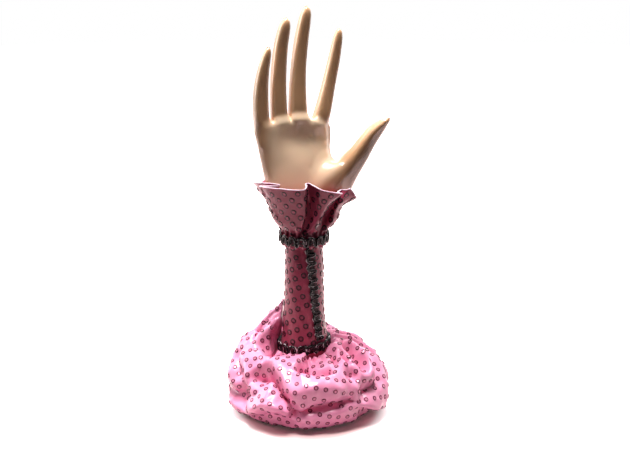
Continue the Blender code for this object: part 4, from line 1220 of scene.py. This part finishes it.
def puff_grid():
    """The crumpled satin round the foot, in rows from the underside up to the neck."""
    azimuths = math.tau * np.arange(PUFF_COLUMNS) / PUFF_COLUMNS - math.pi
    shares = np.linspace(0, 1, PUFF_ROWS)
    places = puff_base(azimuths, shares)
    swing = 0.5 * math.pi * smooth_step((shares - 0.25) / 0.45)[:, None]
    outwards = at_azimuth(azimuths[None, :], np.sin(swing), np.cos(swing))
    downwards = unit(np.gradient(places, axis=0))
    wide_azimuths, wide_shares = np.meshgrid(azimuths, shares)
    shifts = crease_field(wide_azimuths, wide_shares)
    ear = np.maximum(0.0, shifts[..., 0] - PUFF_EAR_HEIGHT)
    shifts[..., 0] += (PUFF_FOLD_SCALE - 1) * np.clip(shifts[..., 0], -PUFF_EAR_HEIGHT, PUFF_EAR_HEIGHT)
    places -= at_azimuth(wide_azimuths, ear * PUFF_EAR_LEAN, 0.0)
    moved = places + outwards * shifts[..., :1] + downwards * shifts[..., 1:]
    moved = relaxed(moved, PUFF_SMOOTHING)
    away = smooth_step(wide_shares / 0.1) * smooth_step((1 - wide_shares) / 0.1)
    normals = -grid_normals(moved)
    crumple = noise_field(moved, 95.0, 2.0) * 0.8 + noise_field(moved, 210.0, 5.0) * 0.35
    crumple += 1.6 - 3.2 * np.abs(noise_field(moved, 42.0, 11.0))
    moved += normals * (crumple * away * MM)[..., None]
    wander = 3.0 * noise_field(at_azimuth(wide_azimuths, 0.05, 0.0), 60.0, 4.0)
    gathers = np.cos(wide_azimuths * PUFF_GATHERS + wander)
    near_neck = smooth_step(wide_shares / 0.02) * smooth_step((0.24 - wide_shares) / 0.16)
    moved[..., 2] += (gathers * PUFF_GATHER_DEPTH + PUFF_GATHER_RISE) * MM * near_neck
    clear = stem_radius(moved[..., 2]) + SEAT_GAP + CLOTH_WALL + 0.5 * MM
    radius = np.hypot(moved[..., 0], moved[..., 1])
    push = np.where(wide_shares < 0.02, 1.0, np.maximum(1.0, clear / radius))
    moved[..., :2] *= push[..., None]
    moved[..., 2] = np.maximum(moved[..., 2], PUFF_LOWEST_Z)
    return moved[::-1]


# Sleeve

def sleeve_grid():
    """The satin tube round the forearm, drawn a little by its seam."""
    azimuths = math.tau * np.arange(SLEEVE_COLUMNS) / SLEEVE_COLUMNS - math.pi
    heights = np.linspace(SLEEVE_LOW.z, SLEEVE_HIGH.z, SLEEVE_ROWS)
    grid = at_azimuth(azimuths[None, :], stem_radius(heights)[:, None], heights[:, None])
    share = (heights - SLEEVE_LOW.z) / (SLEEVE_HIGH.z - SLEEVE_LOW.z)
    seam = SEAM_FOOT_AZIMUTH + (SEAM_TOP_AZIMUTH - SEAM_FOOT_AZIMUTH) * share
    off_seam = np.abs((azimuths[None, :] - seam[:, None] + math.pi) % math.tau - math.pi)
    near_seam = np.exp(-((off_seam / SLEEVE_PUCKER_REACH) ** 2))
    puckered = near_seam * np.cos(heights * 2 * math.pi / SLEEVE_PUCKER_PITCH)[:, None]
    loose = smooth_step(share / 0.1) * smooth_step((1 - share) / 0.1)
    slanted = np.stack([grid[..., 0] + 0.4 * grid[..., 2], grid[..., 1], 0.5 * grid[..., 2]], axis=-1)
    ripple = noise_field(slanted, 75.0, 6.0) * 0.55 + puckered * 0.12 - 0.45
    normals = at_azimuth(azimuths[None, :], 1.0, 0.0)
    return grid + normals * (ripple * loose[:, None] * MM)[..., None]


# Geometry node trees

def geometry_tree(name, inputs):
    """A tree with a Geometry in and out and the named inputs, each a socket type and a default."""
    tree = bpy.data.node_groups.new(name, "GeometryNodeTree")
    tree.interface.new_socket("Geometry", in_out="INPUT", socket_type="NodeSocketGeometry")
    tree.interface.new_socket("Geometry", in_out="OUTPUT", socket_type="NodeSocketGeometry")
    for label, (kind, default) in inputs.items():
        socket = tree.interface.new_socket(label, in_out="INPUT", socket_type=kind)
        if default is not None:
            socket.default_value = default
    tree.nodes.new("NodeGroupInput").name = "inputs"
    return Nodes(tree)


def run_tree(obj, nodes, values, name):
    """The mesh that a tree makes from an object. The object is removed."""
    modifier = obj.modifiers.new("tree", "NODES")
    modifier.node_group = nodes.tree
    items = nodes.tree.interface.items_tree
    sockets = {item.name: item.identifier for item in items if item.in_out == "INPUT"}
    for label, value in values.items():
        modifier[sockets[label]] = value
    return evaluated_mesh(obj, name)


def raised_dots_tree(material):
    """Domes on a square lattice that is laid on the flat cloth and carried to the draped cloth."""
    nodes = geometry_tree("raised dots", {
        "Pitch": ("NodeSocketFloat", 0.0086),
        "Diameter": ("NodeSocketFloat", 0.0044),
        "Height": ("NodeSocketFloat", 0.0009),
        "Turn": ("NodeSocketFloat", 0.0),
        "Shift": ("NodeSocketVector", (0.0, 0.0, 0.0)),
        "Lowest": ("NodeSocketFloat", 0.0),
        "Highest": ("NodeSocketFloat", 1.0),
        "Count": ("NodeSocketInt", 80),
        "Dot": ("NodeSocketObject", None),
        "Keep Clear Of": ("NodeSocketObject", None),
        "Clearance": ("NodeSocketFloat", 0.002),
    })
    cloth = nodes.given("Geometry")
    pitch, count = nodes.given("Pitch"), nodes.given("Count")
    span = pitch * (count - 1)
    lattice = nodes.add("GeometryNodeMeshGrid", {}, (span, span, count, count))
    points = nodes.add("GeometryNodeMeshToPoints", {"mode": "VERTICES"}, {"Mesh": lattice})
    spot = nodes.add("GeometryNodeInputPosition")
    turned = nodes.add("ShaderNodeVectorRotate", {"rotation_type": "Z_AXIS"}, {
        "Vector": spot, "Angle": nodes.given("Turn"),
    })
    on_cloth = nodes.vector("ADD", turned, nodes.given("Shift"))
    vectors = {"data_type": "FLOAT_VECTOR"}

    def named(name):
        return nodes.add("GeometryNodeInputNamedAttribute", vectors, {"Name": name})

    chart = named("cloth")

    def carried(value):
        return nodes.add("GeometryNodeSampleUVSurface", vectors, {
            "Mesh": cloth, "Value": value, "Source UV Map": chart, "Sample UV": on_cloth,
        })

    place = carried(spot)
    normal = carried(nodes.add("GeometryNodeInputNormal"))
    up_cloth = nodes.part(on_cloth, "Y")
    above = up_cloth.math("GREATER_THAN", up_cloth, nodes.given("Lowest"))
    below = up_cloth.math("LESS_THAN", up_cloth, nodes.given("Highest"))
    other = nodes.add("GeometryNodeObjectInfo", {"transform_space": "RELATIVE"}, {
        "Object": nodes.given("Keep Clear Of"),
    }, "Geometry")
    proximity = nodes.add("GeometryNodeProximity", {"target_element": "FACES"}, {
        "Geometry": other, "Sample Position": place,
    }, "Distance")
    clear = proximity.math("GREATER_THAN", proximity, nodes.given("Clearance"))
    kept = place.out("Is Valid") * above * below * clear
    facing_points = nodes.store(points, "face_way", normal, "FLOAT_VECTOR")
    left = nodes.add("GeometryNodeDeleteGeometry", {"domain": "POINT"}, {
        "Geometry": facing_points, "Selection": 1 - kept,
    })
    moved = nodes.add("GeometryNodeSetPosition", {}, {"Geometry": left, "Position": place})
    stored = named("face_way")
    facing = nodes.add("FunctionNodeAlignRotationToVector", {"axis": "Z"}, {"Vector": stored})
    half = nodes.given("Diameter") * 0.5
    dot = nodes.add("GeometryNodeObjectInfo", {}, {"Object": nodes.given("Dot")}, "Geometry")
    size = nodes.add("ShaderNodeCombineXYZ", {}, (half, half, nodes.given("Height")))
    dome = nodes.add("GeometryNodeTransform", {}, {"Geometry": dot, "Scale": size})
    dots = nodes.add("GeometryNodeInstanceOnPoints", {}, {
        "Points": moved, "Instance": dome, "Rotation": facing,
    })
    return nodes.end_geometry(dots, material)


def unit_dot():
    """A dot of radius 1 and height 1: a raised rim round a shallow dish with a low dome."""
    profile = (
        (0.0, 0.80), (0.22, 0.76), (0.42, 0.60), (0.58, 0.62), (0.74, 1.0), (0.90, 0.82), (1.0, -0.35),
    )
    azimuths = math.tau * np.arange(DOT_SIDES) / DOT_SIDES
    bm = bmesh.new()
    pole = bm.verts.new((0, 0, profile[0][1]))
    rings = [[bm.verts.new(p) for p in at_azimuth(azimuths, r, z)] for r, z in profile[1:]]
    for k in range(DOT_SIDES):
        after = (k + 1) % DOT_SIDES
        bm.faces.new((pole, rings[0][k], rings[0][after]))
        for inner, outer in zip(rings, rings[1:]):
            bm.faces.new((inner[k], outer[k], outer[after], inner[after]))
    bm.faces.new(reversed(rings[-1]))
    mesh = mesh_of(bm, "unit_dot")
    mark_mesh(mesh, "reach", np.concatenate([[0.0], np.repeat([r for r, _ in profile[1:]], DOT_SIDES)]))
    return link(bpy.data.objects.new("unit_dot", mesh))


def gimp_braid_tree(material):
    """Cords that swing from side to side of a path round the stem's axis, over straight ground cords."""
    nodes = geometry_tree("gimp braid", {
        "Loops": ("NodeSocketInt", 12),
        "Swing": ("NodeSocketFloat", 0.0037),
        "Swell": ("NodeSocketFloat", 0.0009),
        "Lean": ("NodeSocketFloat", 0.0005),
        "Cord": ("NodeSocketFloat", 0.0016),
        "Edging": ("NodeSocketFloat", 0.0006),
        "Ground Cord": ("NodeSocketFloat", 0.0009),
        "Ground Width": ("NodeSocketFloat", 0.0062),
    })
    path = nodes.given("Geometry")
    loops, cord = nodes.given("Loops"), nodes.given("Cord")
    ground_cord = nodes.given("Ground Cord")
    spot = nodes.add("GeometryNodeInputPosition")

    def outward():
        return nodes.vector("NORMALIZE", nodes.vector("MULTIPLY", spot, (1.0, 1.0, 0.0)))

    def shifted(geometry, offset):
        return nodes.add("GeometryNodeSetPosition", {}, {"Geometry": geometry, "Offset": offset})

    def scaled(vector, amount):
        settings = {"operation": "SCALE"}
        return nodes.add("ShaderNodeVectorMath", settings, {"Vector": vector, "Scale": amount})

    def corded(geometry, diameter, sides, edging):
        length = nodes.add("GeometryNodeSplineParameter", output="Length")
        marked = nodes.store(geometry, "length", length)
        circle = nodes.add("GeometryNodeCurvePrimitiveCircle", {}, {
            "Resolution": sides, "Radius": diameter * 0.5,
        })
        turn = nodes.add("GeometryNodeSplineParameter", output="Factor")
        rounded = nodes.store(circle, "turn", turn)
        marked = nodes.store(marked, "edging", edging)
        inputs = {"Curve": marked, "Profile Curve": rounded, "Fill Caps": True}
        return nodes.add("GeometryNodeCurveToMesh", {}, inputs)

    def copies(geometry, amount, spacing):
        made = nodes.add("GeometryNodeDuplicateElements", {"domain": "SPLINE"}, {
            "Geometry": geometry, "Amount": amount,
        })
        place = made.out("Duplicate Index") - 0.5 * (amount - 1)
        side = nodes.vector("CROSS_PRODUCT", nodes.add("GeometryNodeInputTangent"), outward())
        return shifted(made, scaled(side, place * spacing))

    count = loops * POINTS_PER_LOOP
    even = nodes.add("GeometryNodeResampleCurve", {}, {"Curve": path, "Count": count})
    phase = nodes.add("GeometryNodeSplineParameter", output="Factor") * loops * math.tau
    sine = phase.math("SINE", phase)
    swell = phase.math("COSINE", phase) * nodes.given("Swell")
    double = phase.math("SINE", phase * 2.0) * nodes.given("Lean")
    along = nodes.add("GeometryNodeInputTangent")
    side = nodes.vector("CROSS_PRODUCT", along, outward())
    sway = nodes.vector(
        "ADD",
        scaled(side, sine * nodes.given("Swing")),
        scaled(along, swell - double),
    )
    lifted = nodes.vector("ADD", sway, scaled(outward(), ground_cord + cord * 0.3))
    winding = shifted(even, lifted)
    edging = nodes.given("Edging")
    low = nodes.vector("ADD", sway, scaled(outward(), ground_cord + edging * 0.2))
    edges = copies(shifted(even, low), 2, cord + edging * 0.7)
    ground = shifted(even, scaled(outward(), ground_cord * 0.5))
    ground = copies(ground, 6, nodes.given("Ground Width") * 0.2)
    joined = nodes.add("GeometryNodeJoinGeometry")
    for cords in (
        corded(winding, cord, CORD_SIDES, 0.0),
        corded(edges, edging, THIN_CORD_SIDES, 1.0),
        corded(ground, ground_cord, THIN_CORD_SIDES, 0.0),
    ):
        nodes.tree.links.new(cords.socket, joined.socket.node.inputs[0])
    return nodes.end_geometry(joined, material)


def path_object(name, points, closed):
    """A curve of straight spans through the points."""
    curve = bpy.data.curves.new(name, "CURVE")
    curve.dimensions = "3D"
    spline = curve.splines.new("POLY")
    spline.points.add(len(points) - 1)
    for point, place in zip(spline.points, points):
        point.co = (*place, 1.0)
    spline.use_cyclic_u = closed
    return link(bpy.data.objects.new(name, curve))


def wrist_braid_path():
    seat = cuff_foot_radius(0.0) + SEAT_GAP
    azimuths = np.linspace(0, math.tau, 120, endpoint=False)
    return at_azimuth(azimuths, seat, WRIST_BRAID_Z - WRIST_BRAID_DIP * np.cos(azimuths))


def hem_braid_path():
    azimuths = np.linspace(0, math.tau, 120, endpoint=False)
    z = HEM_BRAID_Z + 0.5 * HEM_BRAID_RISE * (1 + np.cos(azimuths - HEM_BRAID_RISE_AZIMUTH))
    return at_azimuth(azimuths, stem_radius(z) + SEAT_GAP, z)


def seam_braid_path():
    cord_end = 0.2 * MM
    top = WRIST_BRAID_Z - WRIST_BRAID_DIP - 0.5 * BRAID_WIDTH - BRAID_END_GAP - cord_end
    rise = 0.5 * HEM_BRAID_RISE * (1 + math.cos(SEAM_FOOT_AZIMUTH - HEM_BRAID_RISE_AZIMUTH))
    foot = HEM_BRAID_Z + rise + 0.5 * BRAID_WIDTH + BRAID_END_GAP + cord_end
    share = np.linspace(0, 1, 90)
    z = foot + (top - foot) * share
    azimuths = SEAM_FOOT_AZIMUTH + (SEAM_TOP_AZIMUTH - SEAM_FOOT_AZIMUTH) * share
    return at_azimuth(azimuths, stem_radius(z) + SEAT_GAP, z)


# What a user may change

def length_property(name, description, value):
    return FloatProperty(name=name, description=description, default=value, unit="LENGTH")


class StandSizes(bpy.types.PropertyGroup):
    """Sizes of the stand's trim."""

    dot_pitch: length_property("Dot Pitch", "From dot to dot", 0.0086)
    dot_diameter: length_property("Dot Diameter", "Across a dot", 0.0042)
    sleeve_and_cuff_dot_diameter: length_property("Sleeve And Cuff Dot Diameter", "Across a cuff or sleeve dot", 0.0053)
    dot_height: length_property("Dot Height", "From cloth to top", 0.0004)
    braid_pitch: length_property("Braid Pitch", "From loop to loop", 0.008)
    cord: length_property("Braid Cord", "Across the loops' cord", 0.0015)
    thread: length_property("Satin Thread", "Across one thread", 0.0003)
    hem_cord: length_property("Rolled Edge", "Across the cuff's edge", 0.0009)
    lattice: IntProperty(name="Lattice Count", description="Dots along the lattice's side", default=80)


def colour_property(name, description, value):
    return FloatVectorProperty(
        name=name, description=description, default=value, subtype="COLOR", min=0.0, max=1.0
    )


class StandColours(bpy.types.PropertyGroup):
    """Colours of the stand's finishes."""

    # Partly the resin's own brown, and kept dark as painted shade on the finger fronts.
    flesh: colour_property("Flesh", "The cast hand", (0.57, 0.315, 0.17))
    nail: colour_property("Nail", "The nails", (0.72, 0.50, 0.34))
    # The puff's satin and the sleeve's and cuff's satin are one cloth, lightened here as painted light and
    # darkened next as painted shade.
    satin: colour_property("Satin", "The puff's dotted cloth", (0.94, 0.30, 0.49))
    dusky: colour_property("Dusky Satin", "The cuff's and the sleeve's dotted cloth", (0.43, 0.060, 0.112))
    edge: colour_property("Cut Edge", "The cuff's pale edge", (0.90, 0.66, 0.76))
    # The foil too: the puff's dots lightened as painted light, the cuff's and sleeve's darkened as painted
    # shade.
    dome: colour_property("Dot Dome", "The middle of a puff dot", (0.62, 0.20, 0.31))
    rim: colour_property("Dot Rim", "The edge of a puff dot", (0.12, 0.014, 0.036))
    shaded_dot_dome: colour_property("Shaded Dot Dome", "The middle of a cuff or sleeve dot", (0.24, 0.038, 0.072))
    shaded_dot_rim: colour_property("Shaded Dot Rim", "The edge of a cuff or sleeve dot", (0.045, 0.005, 0.013))
    gimp: colour_property("Gimp", "The braid", (0.007, 0.002, 0.003))
    wood: colour_property("Wood", "The board", (0.52, 0.36, 0.20))
    steel: colour_property("Steel", "The screw", (0.60, 0.60, 0.62))
    # The felt's own dark colour, which also paints the shade in the band under the puff's edge.
    felt: colour_property("Felt", "The pad under the board", (0.05, 0.02, 0.03))
    fibre: colour_property("Wadding", "The fibre in the puff", (0.85, 0.84, 0.80))


def shared(name, make, *values):
    """The material of this name, made when it is first asked for."""
    return bpy.data.materials.get(name) or make(name, *values)


def satin_with_painted_light(colours, thread):
    """The puff's satin and the foil of its dots: lighter copies that carry painted light."""
    satin = shared("pink_satin", pink_satin, colours.satin, thread, 0.45)
    return satin, shared("foil_dot", foil_dot, colours.dome, colours.rim, 0.42)


def dusky_satin(colours, thread):
    """The sleeve's and the cuff's satin and the foil of their dots: darker copies of the puff's, carrying
    painted shade.
    """
    satin = shared("dusky_satin", pink_satin, colours.dusky, thread, 0.25)
    return satin, shared("dusky_foil", foil_dot, colours.shaded_dot_dome, colours.shaded_dot_rim, 0.36)


def add_satin(scene, node, mesh, finishes, diameter, *lattice):
    """A satin sheet in a node's place, and its dots, laid as add_dots says."""
    satin, foil = finishes(scene.stand_colours, scene.stand_sizes.thread)
    cloth = add_piece(mesh.name, mesh, satin, (node,))
    dots = add_dots(scene, f"{node}_dots", cloth, foil, diameter, *lattice)
    return thickened(cloth), dots


def add_dots(scene, name, cloth, foil, diameter, turn, shift, lowest, highest, trim):
    """The raised dots of one piece of cloth, laid up to its trim."""
    sizes = scene.stand_sizes
    carrier = link(bpy.data.objects.new(name, cloth.data.copy()))
    dot = unit_dot()
    mesh = run_tree(carrier, raised_dots_tree(foil), {
        "Pitch": sizes.dot_pitch, "Diameter": diameter, "Height": sizes.dot_height,
        "Turn": turn, "Shift": shift, "Lowest": lowest, "Highest": highest, "Count": sizes.lattice,
        "Dot": dot, "Keep Clear Of": trim, "Clearance": 0.5 * diameter,
    }, name)
    bpy.data.objects.remove(dot)
    for attribute in [a.name for a in mesh.attributes if a.name == "face_way"]:
        mesh.attributes.remove(mesh.attributes[attribute])
    return add_piece(name, mesh)


def area_lamp(name, place, aim, size, power):
    lamp = bpy.data.lights.new(name, "AREA")
    lamp.shape = "RECTANGLE"
    lamp.size, lamp.size_y = size
    lamp.energy = power
    obj = link(bpy.data.objects.new(name, lamp))
    obj.location = place
    obj.rotation_euler = (Vector(aim) - Vector(place)).to_track_quat("-Z", "Y").to_euler()


class STAND_OT_stage(bpy.types.Operator):
    """Sets the camera, the lamps, the white floor and the backdrop"""

    bl_idname = "stand.stage"
    bl_label = "Stage"

    def execute(self, context):
        scene = context.scene
        scene.view_settings.view_transform = "Standard"
        self.add_camera(scene)
        self.add_world(scene)
        self.add_floor()
        for lamp in LAMPS:
            area_lamp(*lamp)
        return {"FINISHED"}

    def add_camera(self, scene):
        camera = bpy.data.cameras.new("camera")
        camera.lens = CAMERA_LENS
        obj = link(bpy.data.objects.new("camera", camera))
        back = Vector((0.0, -math.cos(CAMERA_ELEVATION), math.sin(CAMERA_ELEVATION)))
        obj.location = CAMERA_TARGET + back * CAMERA_DISTANCE
        obj.rotation_euler = (-back).to_track_quat("-Z", "Y").to_euler()
        scene.camera = obj

    def add_world(self, scene):
        world = bpy.data.worlds.new("studio")
        nodes = Nodes(world)
        way = nodes.part(nodes.add("ShaderNodeTexCoord", output="Generated"), "Y")
        seen = nodes.seen(way.eased(*BACKDROP_REACH))
        dim = nodes.add("ShaderNodeBackground", {}, ((0.9, 0.95, 1.0, 1.0), 0.02))
        white = nodes.add("ShaderNodeBackground", {}, ((1.0, 1.0, 1.0, 1.0), 1.0))
        mixed = nodes.add("ShaderNodeMixShader", {}, (seen, dim, white))
        nodes.add("ShaderNodeOutputWorld", {}, {"Surface": mixed})
        scene.world = world

    def add_floor(self):
        """A floor that the camera sees as white, except in the stand's own shadow, which its paint tints
        pink as painted bounce light.
        """
        nodes = new_material("white_floor")
        place = nodes.place()
        seen = nodes.seen(nodes.part(place, "Y").eased(*SWEEP_EDGE))
        under = nodes.vector("MULTIPLY", nodes.vector("ADD", place, FLOOR_GLOW_SHIFT), (1.25, 1.0, 1.0))
        away = nodes.add("ShaderNodeVectorMath", {"operation": "LENGTH"}, (under,), "Value")
        bounce = nodes.blend(away.eased(*FLOOR_BOUNCE_REACH), opaque(FLOOR_BOUNCE), opaque(FLOOR_BOUNCE_FAR))
        # Painted bounce light: the paint the camera sees is pink.
        paint = nodes.blend(seen, bounce, opaque(FLOOR_PAINT_WITH_PINK_BOUNCE))
        diffuse = nodes.add("ShaderNodeBsdfDiffuse", {}, {"Color": paint})
        strength = seen * (FLOOR_GLOW + away.eased(*FLOOR_GLOW_REACH) * (1.0 - FLOOR_GLOW))
        glow = nodes.add("ShaderNodeEmission", {}, {"Strength": strength})
        both = nodes.add("ShaderNodeAddShader", {}, (diffuse, glow))
        nodes.add("ShaderNodeOutputMaterial", {}, {"Surface": both})
        bm = bmesh.new()
        bmesh.ops.create_circle(bm, cap_ends=True, segments=64, radius=FLOOR_RADIUS)
        mesh = bpy.data.meshes.new("floor")
        bm.to_mesh(mesh)
        bm.free()
        mesh.materials.append(nodes.owner)
        link(bpy.data.objects.new("floor", mesh))


class STAND_OT_hand(bpy.types.Operator):
    """Makes the cast hand with its palm lines, and its nails"""

    bl_idname = "stand.hand"
    bl_label = "Hand"

    def execute(self, context):
        colours = context.scene.stand_colours
        add_piece("cast_hand", hand_mesh(), cast_flesh(colours.flesh), ("hand",))
        nails = add_piece("nails", nails_mesh(), nail_lacquer(colours.nail))
        plate = nails.modifiers.new("plate", "SOLIDIFY")
        plate.thickness = NAIL_PLATE
        plate.offset = -1
        return {"FINISHED"}


class STAND_OT_braids(bpy.types.Operator):
    """Makes the gimp braid round the wrist, down the seam and round the hem"""

    bl_idname = "stand.braids"
    bl_label = "Braids"

    def execute(self, context):
        sizes, colours = context.scene.stand_sizes, context.scene.stand_colours
        gimp = gimp_cord(colours.gimp, GIMP_THREAD)
        tree = gimp_braid_tree(gimp)
        paths = {
            "wrist_braid": (wrist_braid_path(), True),
            "hem_braid": (hem_braid_path(), True),
            "seam_braid": (seam_braid_path(), False),
        }
        for node, (points, closed) in paths.items():
            ends = np.concatenate([points, points[:1]]) if closed else points
            length = np.linalg.norm(np.diff(ends, axis=0), axis=1).sum()
            name = f"gimp_{node}"
            mesh = run_tree(path_object(name, points, closed), tree, {
                "Loops": max(2, round(length / sizes.braid_pitch)), "Cord": sizes.cord,
            }, name)
            add_piece(name, mesh, None, (node,))
        return {"FINISHED"}


class STAND_OT_sleeve(bpy.types.Operator):
    """Makes the satin sleeve round the forearm, with its dots"""

    bl_idname = "stand.sleeve"
    bl_label = "Sleeve"

    def execute(self, context):
        grid = sleeve_grid()
        chart = cloth_chart(grid, SLEEVE_COLUMNS // 2)
        sleeve, dots = add_satin(
            context.scene, "sleeve", band_mesh("satin_sleeve", grid, chart), dusky_satin,
            context.scene.stand_sizes.sleeve_and_cuff_dot_diameter, SLEEVE_DOT_TURN, SLEEVE_DOT_SHIFT,
            HEM_BRAID_Z - SLEEVE_HEM_Z, SLEEVE_DOTS_END, bpy.data.objects["gimp_seam_braid"],
        )
        return {"FINISHED"}


class STAND_OT_cuff(bpy.types.Operator):
    """Makes the pleated satin cuff, with its pale edge and its dots"""

    bl_idname = "stand.cuff"
    bl_label = "Cuff"

    def execute(self, context):
        sizes = context.scene.stand_sizes
        grid = cuff_grid(bpy.data.objects["cast_hand"])
        chart = cloth_chart(grid, CUFF_FRONT_COLUMN)
        edge = np.zeros(CUFF_ROWS)
        edge[-1] = 1.0
        flat, area = flat_size(chart)
        cuff, dots = add_satin(
            context.scene, "cuff", band_mesh("satin_cuff", grid, chart, edge), dusky_satin,
            sizes.sleeve_and_cuff_dot_diameter, CUFF_DOT_TURN, CUFF_DOT_SHIFT, CUFF_FLARE_Z - CUFF_FOOT_Z,
            flat[1] - 0.6 * sizes.sleeve_and_cuff_dot_diameter, bpy.data.objects["gimp_wrist_braid"],
        )
        rolled = self.rolled_edge(grid[-1], sizes.hem_cord)
        return {"FINISHED"}

    def rolled_edge(self, rim, diameter):
        path = path_object("cuff_edge", rim, True)
        path.data.bevel_depth = 0.5 * diameter
        path.data.bevel_resolution = 2
        mesh = evaluated_mesh(path, "cuff_edge")
        return add_piece("cuff_edge", mesh, cut_edge_thread(bpy.context.scene.stand_colours.edge))


class STAND_OT_puff(bpy.types.Operator):
    """Makes the crumpled satin puff round the foot, with its dots"""

    bl_idname = "stand.puff"
    bl_label = "Puff"

    def execute(self, context):
        sizes = context.scene.stand_sizes
        grid = puff_grid()
        chart = cloth_chart(grid, PUFF_COLUMNS // 2)
        flat, area = flat_size(chart)
        puff, dots = add_satin(
            context.scene, "puff", band_mesh("satin_puff", grid, chart), satin_with_painted_light,
            sizes.dot_diameter, PUFF_DOT_TURN, PUFF_DOT_SHIFT, 0.8 * sizes.dot_diameter,
            flat[1] - PUFF_NECK_WITHOUT_DOTS, bpy.data.objects["gimp_hem_braid"],
        )
        return {"FINISHED"}


class STAND_OT_base(bpy.types.Operator):
    """Finishes the board and the screw, and makes the wadding and the felt"""

    bl_idname = "stand.base"
    bl_label = "Base"

    def execute(self, context):
        colours = context.scene.stand_colours
        self.repaint("base_board", board_wood(colours.wood))
        self.repaint("base_screw", screw_steel(colours.steel))
        fibre = soft_fibre("white_fibre", colours.fibre, 180.0, 1.5 * MM)
        # Its darkness also stands as painted shade under the puff's edge.
        felt = soft_fibre("dark_felt", colours.felt, 700.0, 0.4 * MM)
        wadding = add_piece("wadding_ring", self.wadding_mesh(), fibre, ("wadding",))
        pad = add_piece("felt_disc", self.felt_mesh(), felt, ("felt_pad",))
        return {"FINISHED"}

    def repaint(self, node, material):
        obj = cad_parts[node]
        for slot in obj.material_slots:
            slot.material = material

    def wadding_mesh(self):
        """A lumpy ring of fibre on the board, inside the puff."""
        inner = stem_radius(SLEEVE_HEM_Z) + SEAT_GAP
        outer = WADDING_HIGH.x
        floor, top = WADDING_LOW.z, WADDING_HIGH.z
        middle = 0.5 * (inner + outer)
        half = 0.5 * (outer - inner)
        azimuths = math.tau * np.arange(WADDING_COLUMNS) / WADDING_COLUMNS
        turns = math.tau * np.arange(WADDING_ROWS) / WADDING_ROWS
        a, t = np.meshgrid(azimuths, turns)
        c, s = np.cos(t), np.sin(t)
        radius = middle + half * np.sign(c) * abs(c) ** 0.7
        lean = 1 - 0.45 * smooth_step((radius - inner) / (outer - inner))
        z = floor + (top - floor) * 0.5 * (1 + np.sign(s) * abs(s) ** 0.6) * lean
        grid = at_azimuth(a, radius, z)
        lumps = noise_field(grid, 60.0, 12.0) * 1.2 * MM
        raised = smooth_step((z - floor) / (8 * MM)) * smooth_step((radius - inner) / (4 * MM))
        grid[..., 2] += np.minimum(0.0, lumps - 1.2 * MM) * raised
        mesh = band_mesh("wadding_ring", np.concatenate([grid, grid[:1]]))
        bm = bmesh.new()
        bm.from_mesh(mesh)
        bpy.data.meshes.remove(mesh)
        bmesh.ops.remove_doubles(bm, verts=bm.verts, dist=1e-6)
        return mesh_of(bm, "wadding_ring")

    def felt_mesh(self):
        """A felt disc with a softened, slightly wavy edge."""
        radius, low, high = FELT_HIGH.x, FELT_LOW.z, FELT_HIGH.z
        bevel = 0.35 * (high - low)
        bm = bmesh.new()
        outline = [
            (0.55 * radius, low), (radius - bevel, low), (radius, low + bevel),
            (radius, high - bevel), (radius - bevel, high), (0.55 * radius, high),
        ]
        azimuths = math.tau * np.arange(FELT_SIDES) / FELT_SIDES
        wave = 1 - 0.004 * (1 + np.sin(7 * azimuths) * np.sin(3 * azimuths + 1))
        rings = add_skin(bm, [at_azimuth(azimuths, r * wave, z) for r, z in outline])
        for ring, z in ((rings[0], low), (rings[-1], high)):
            pole = bm.verts.new((0, 0, z))
            for k in range(FELT_SIDES):
                bm.faces.new((ring[k], ring[(k + 1) % FELT_SIDES], pole))
        return mesh_of(bm, "felt_disc")


class STAND_PT_panel(bpy.types.Panel):
    """The stand's sizes, colours and pieces"""

    bl_idname = "STAND_PT_panel"
    bl_label = "Jewellery Stand"
    bl_space_type = "VIEW_3D"
    bl_region_type = "UI"
    bl_category = "Stand"

    def draw(self, context):
        layout = self.layout
        for operator in OPERATORS:
            layout.operator(operator.bl_idname)
        for group in (context.scene.stand_sizes, context.scene.stand_colours):
            box = layout.box()
            for name in group.bl_rna.properties.keys():
                if name not in ("rna_type", "name"):
                    box.prop(group, name)


# In the order in which main() runs them
OPERATORS = (
    STAND_OT_stage,
    STAND_OT_base,
    STAND_OT_hand,
    STAND_OT_braids,
    STAND_OT_sleeve,
    STAND_OT_cuff,
    STAND_OT_puff,
)
CLASSES = (StandSizes, StandColours, *OPERATORS, STAND_PT_panel)


def register():
    for cls in CLASSES:
        bpy.utils.register_class(cls)
    bpy.types.Scene.stand_sizes = PointerProperty(type=StandSizes)
    bpy.types.Scene.stand_colours = PointerProperty(type=StandColours)


def unregister():
    del bpy.types.Scene.stand_colours
    del bpy.types.Scene.stand_sizes
    for cls in reversed(CLASSES):
        bpy.utils.unregister_class(cls)


def main():
    register()
    for operator in OPERATORS:
        group, name = operator.bl_idname.split(".")
        getattr(getattr(bpy.ops, group), name)()


if __name__ == "__main__":
    main()
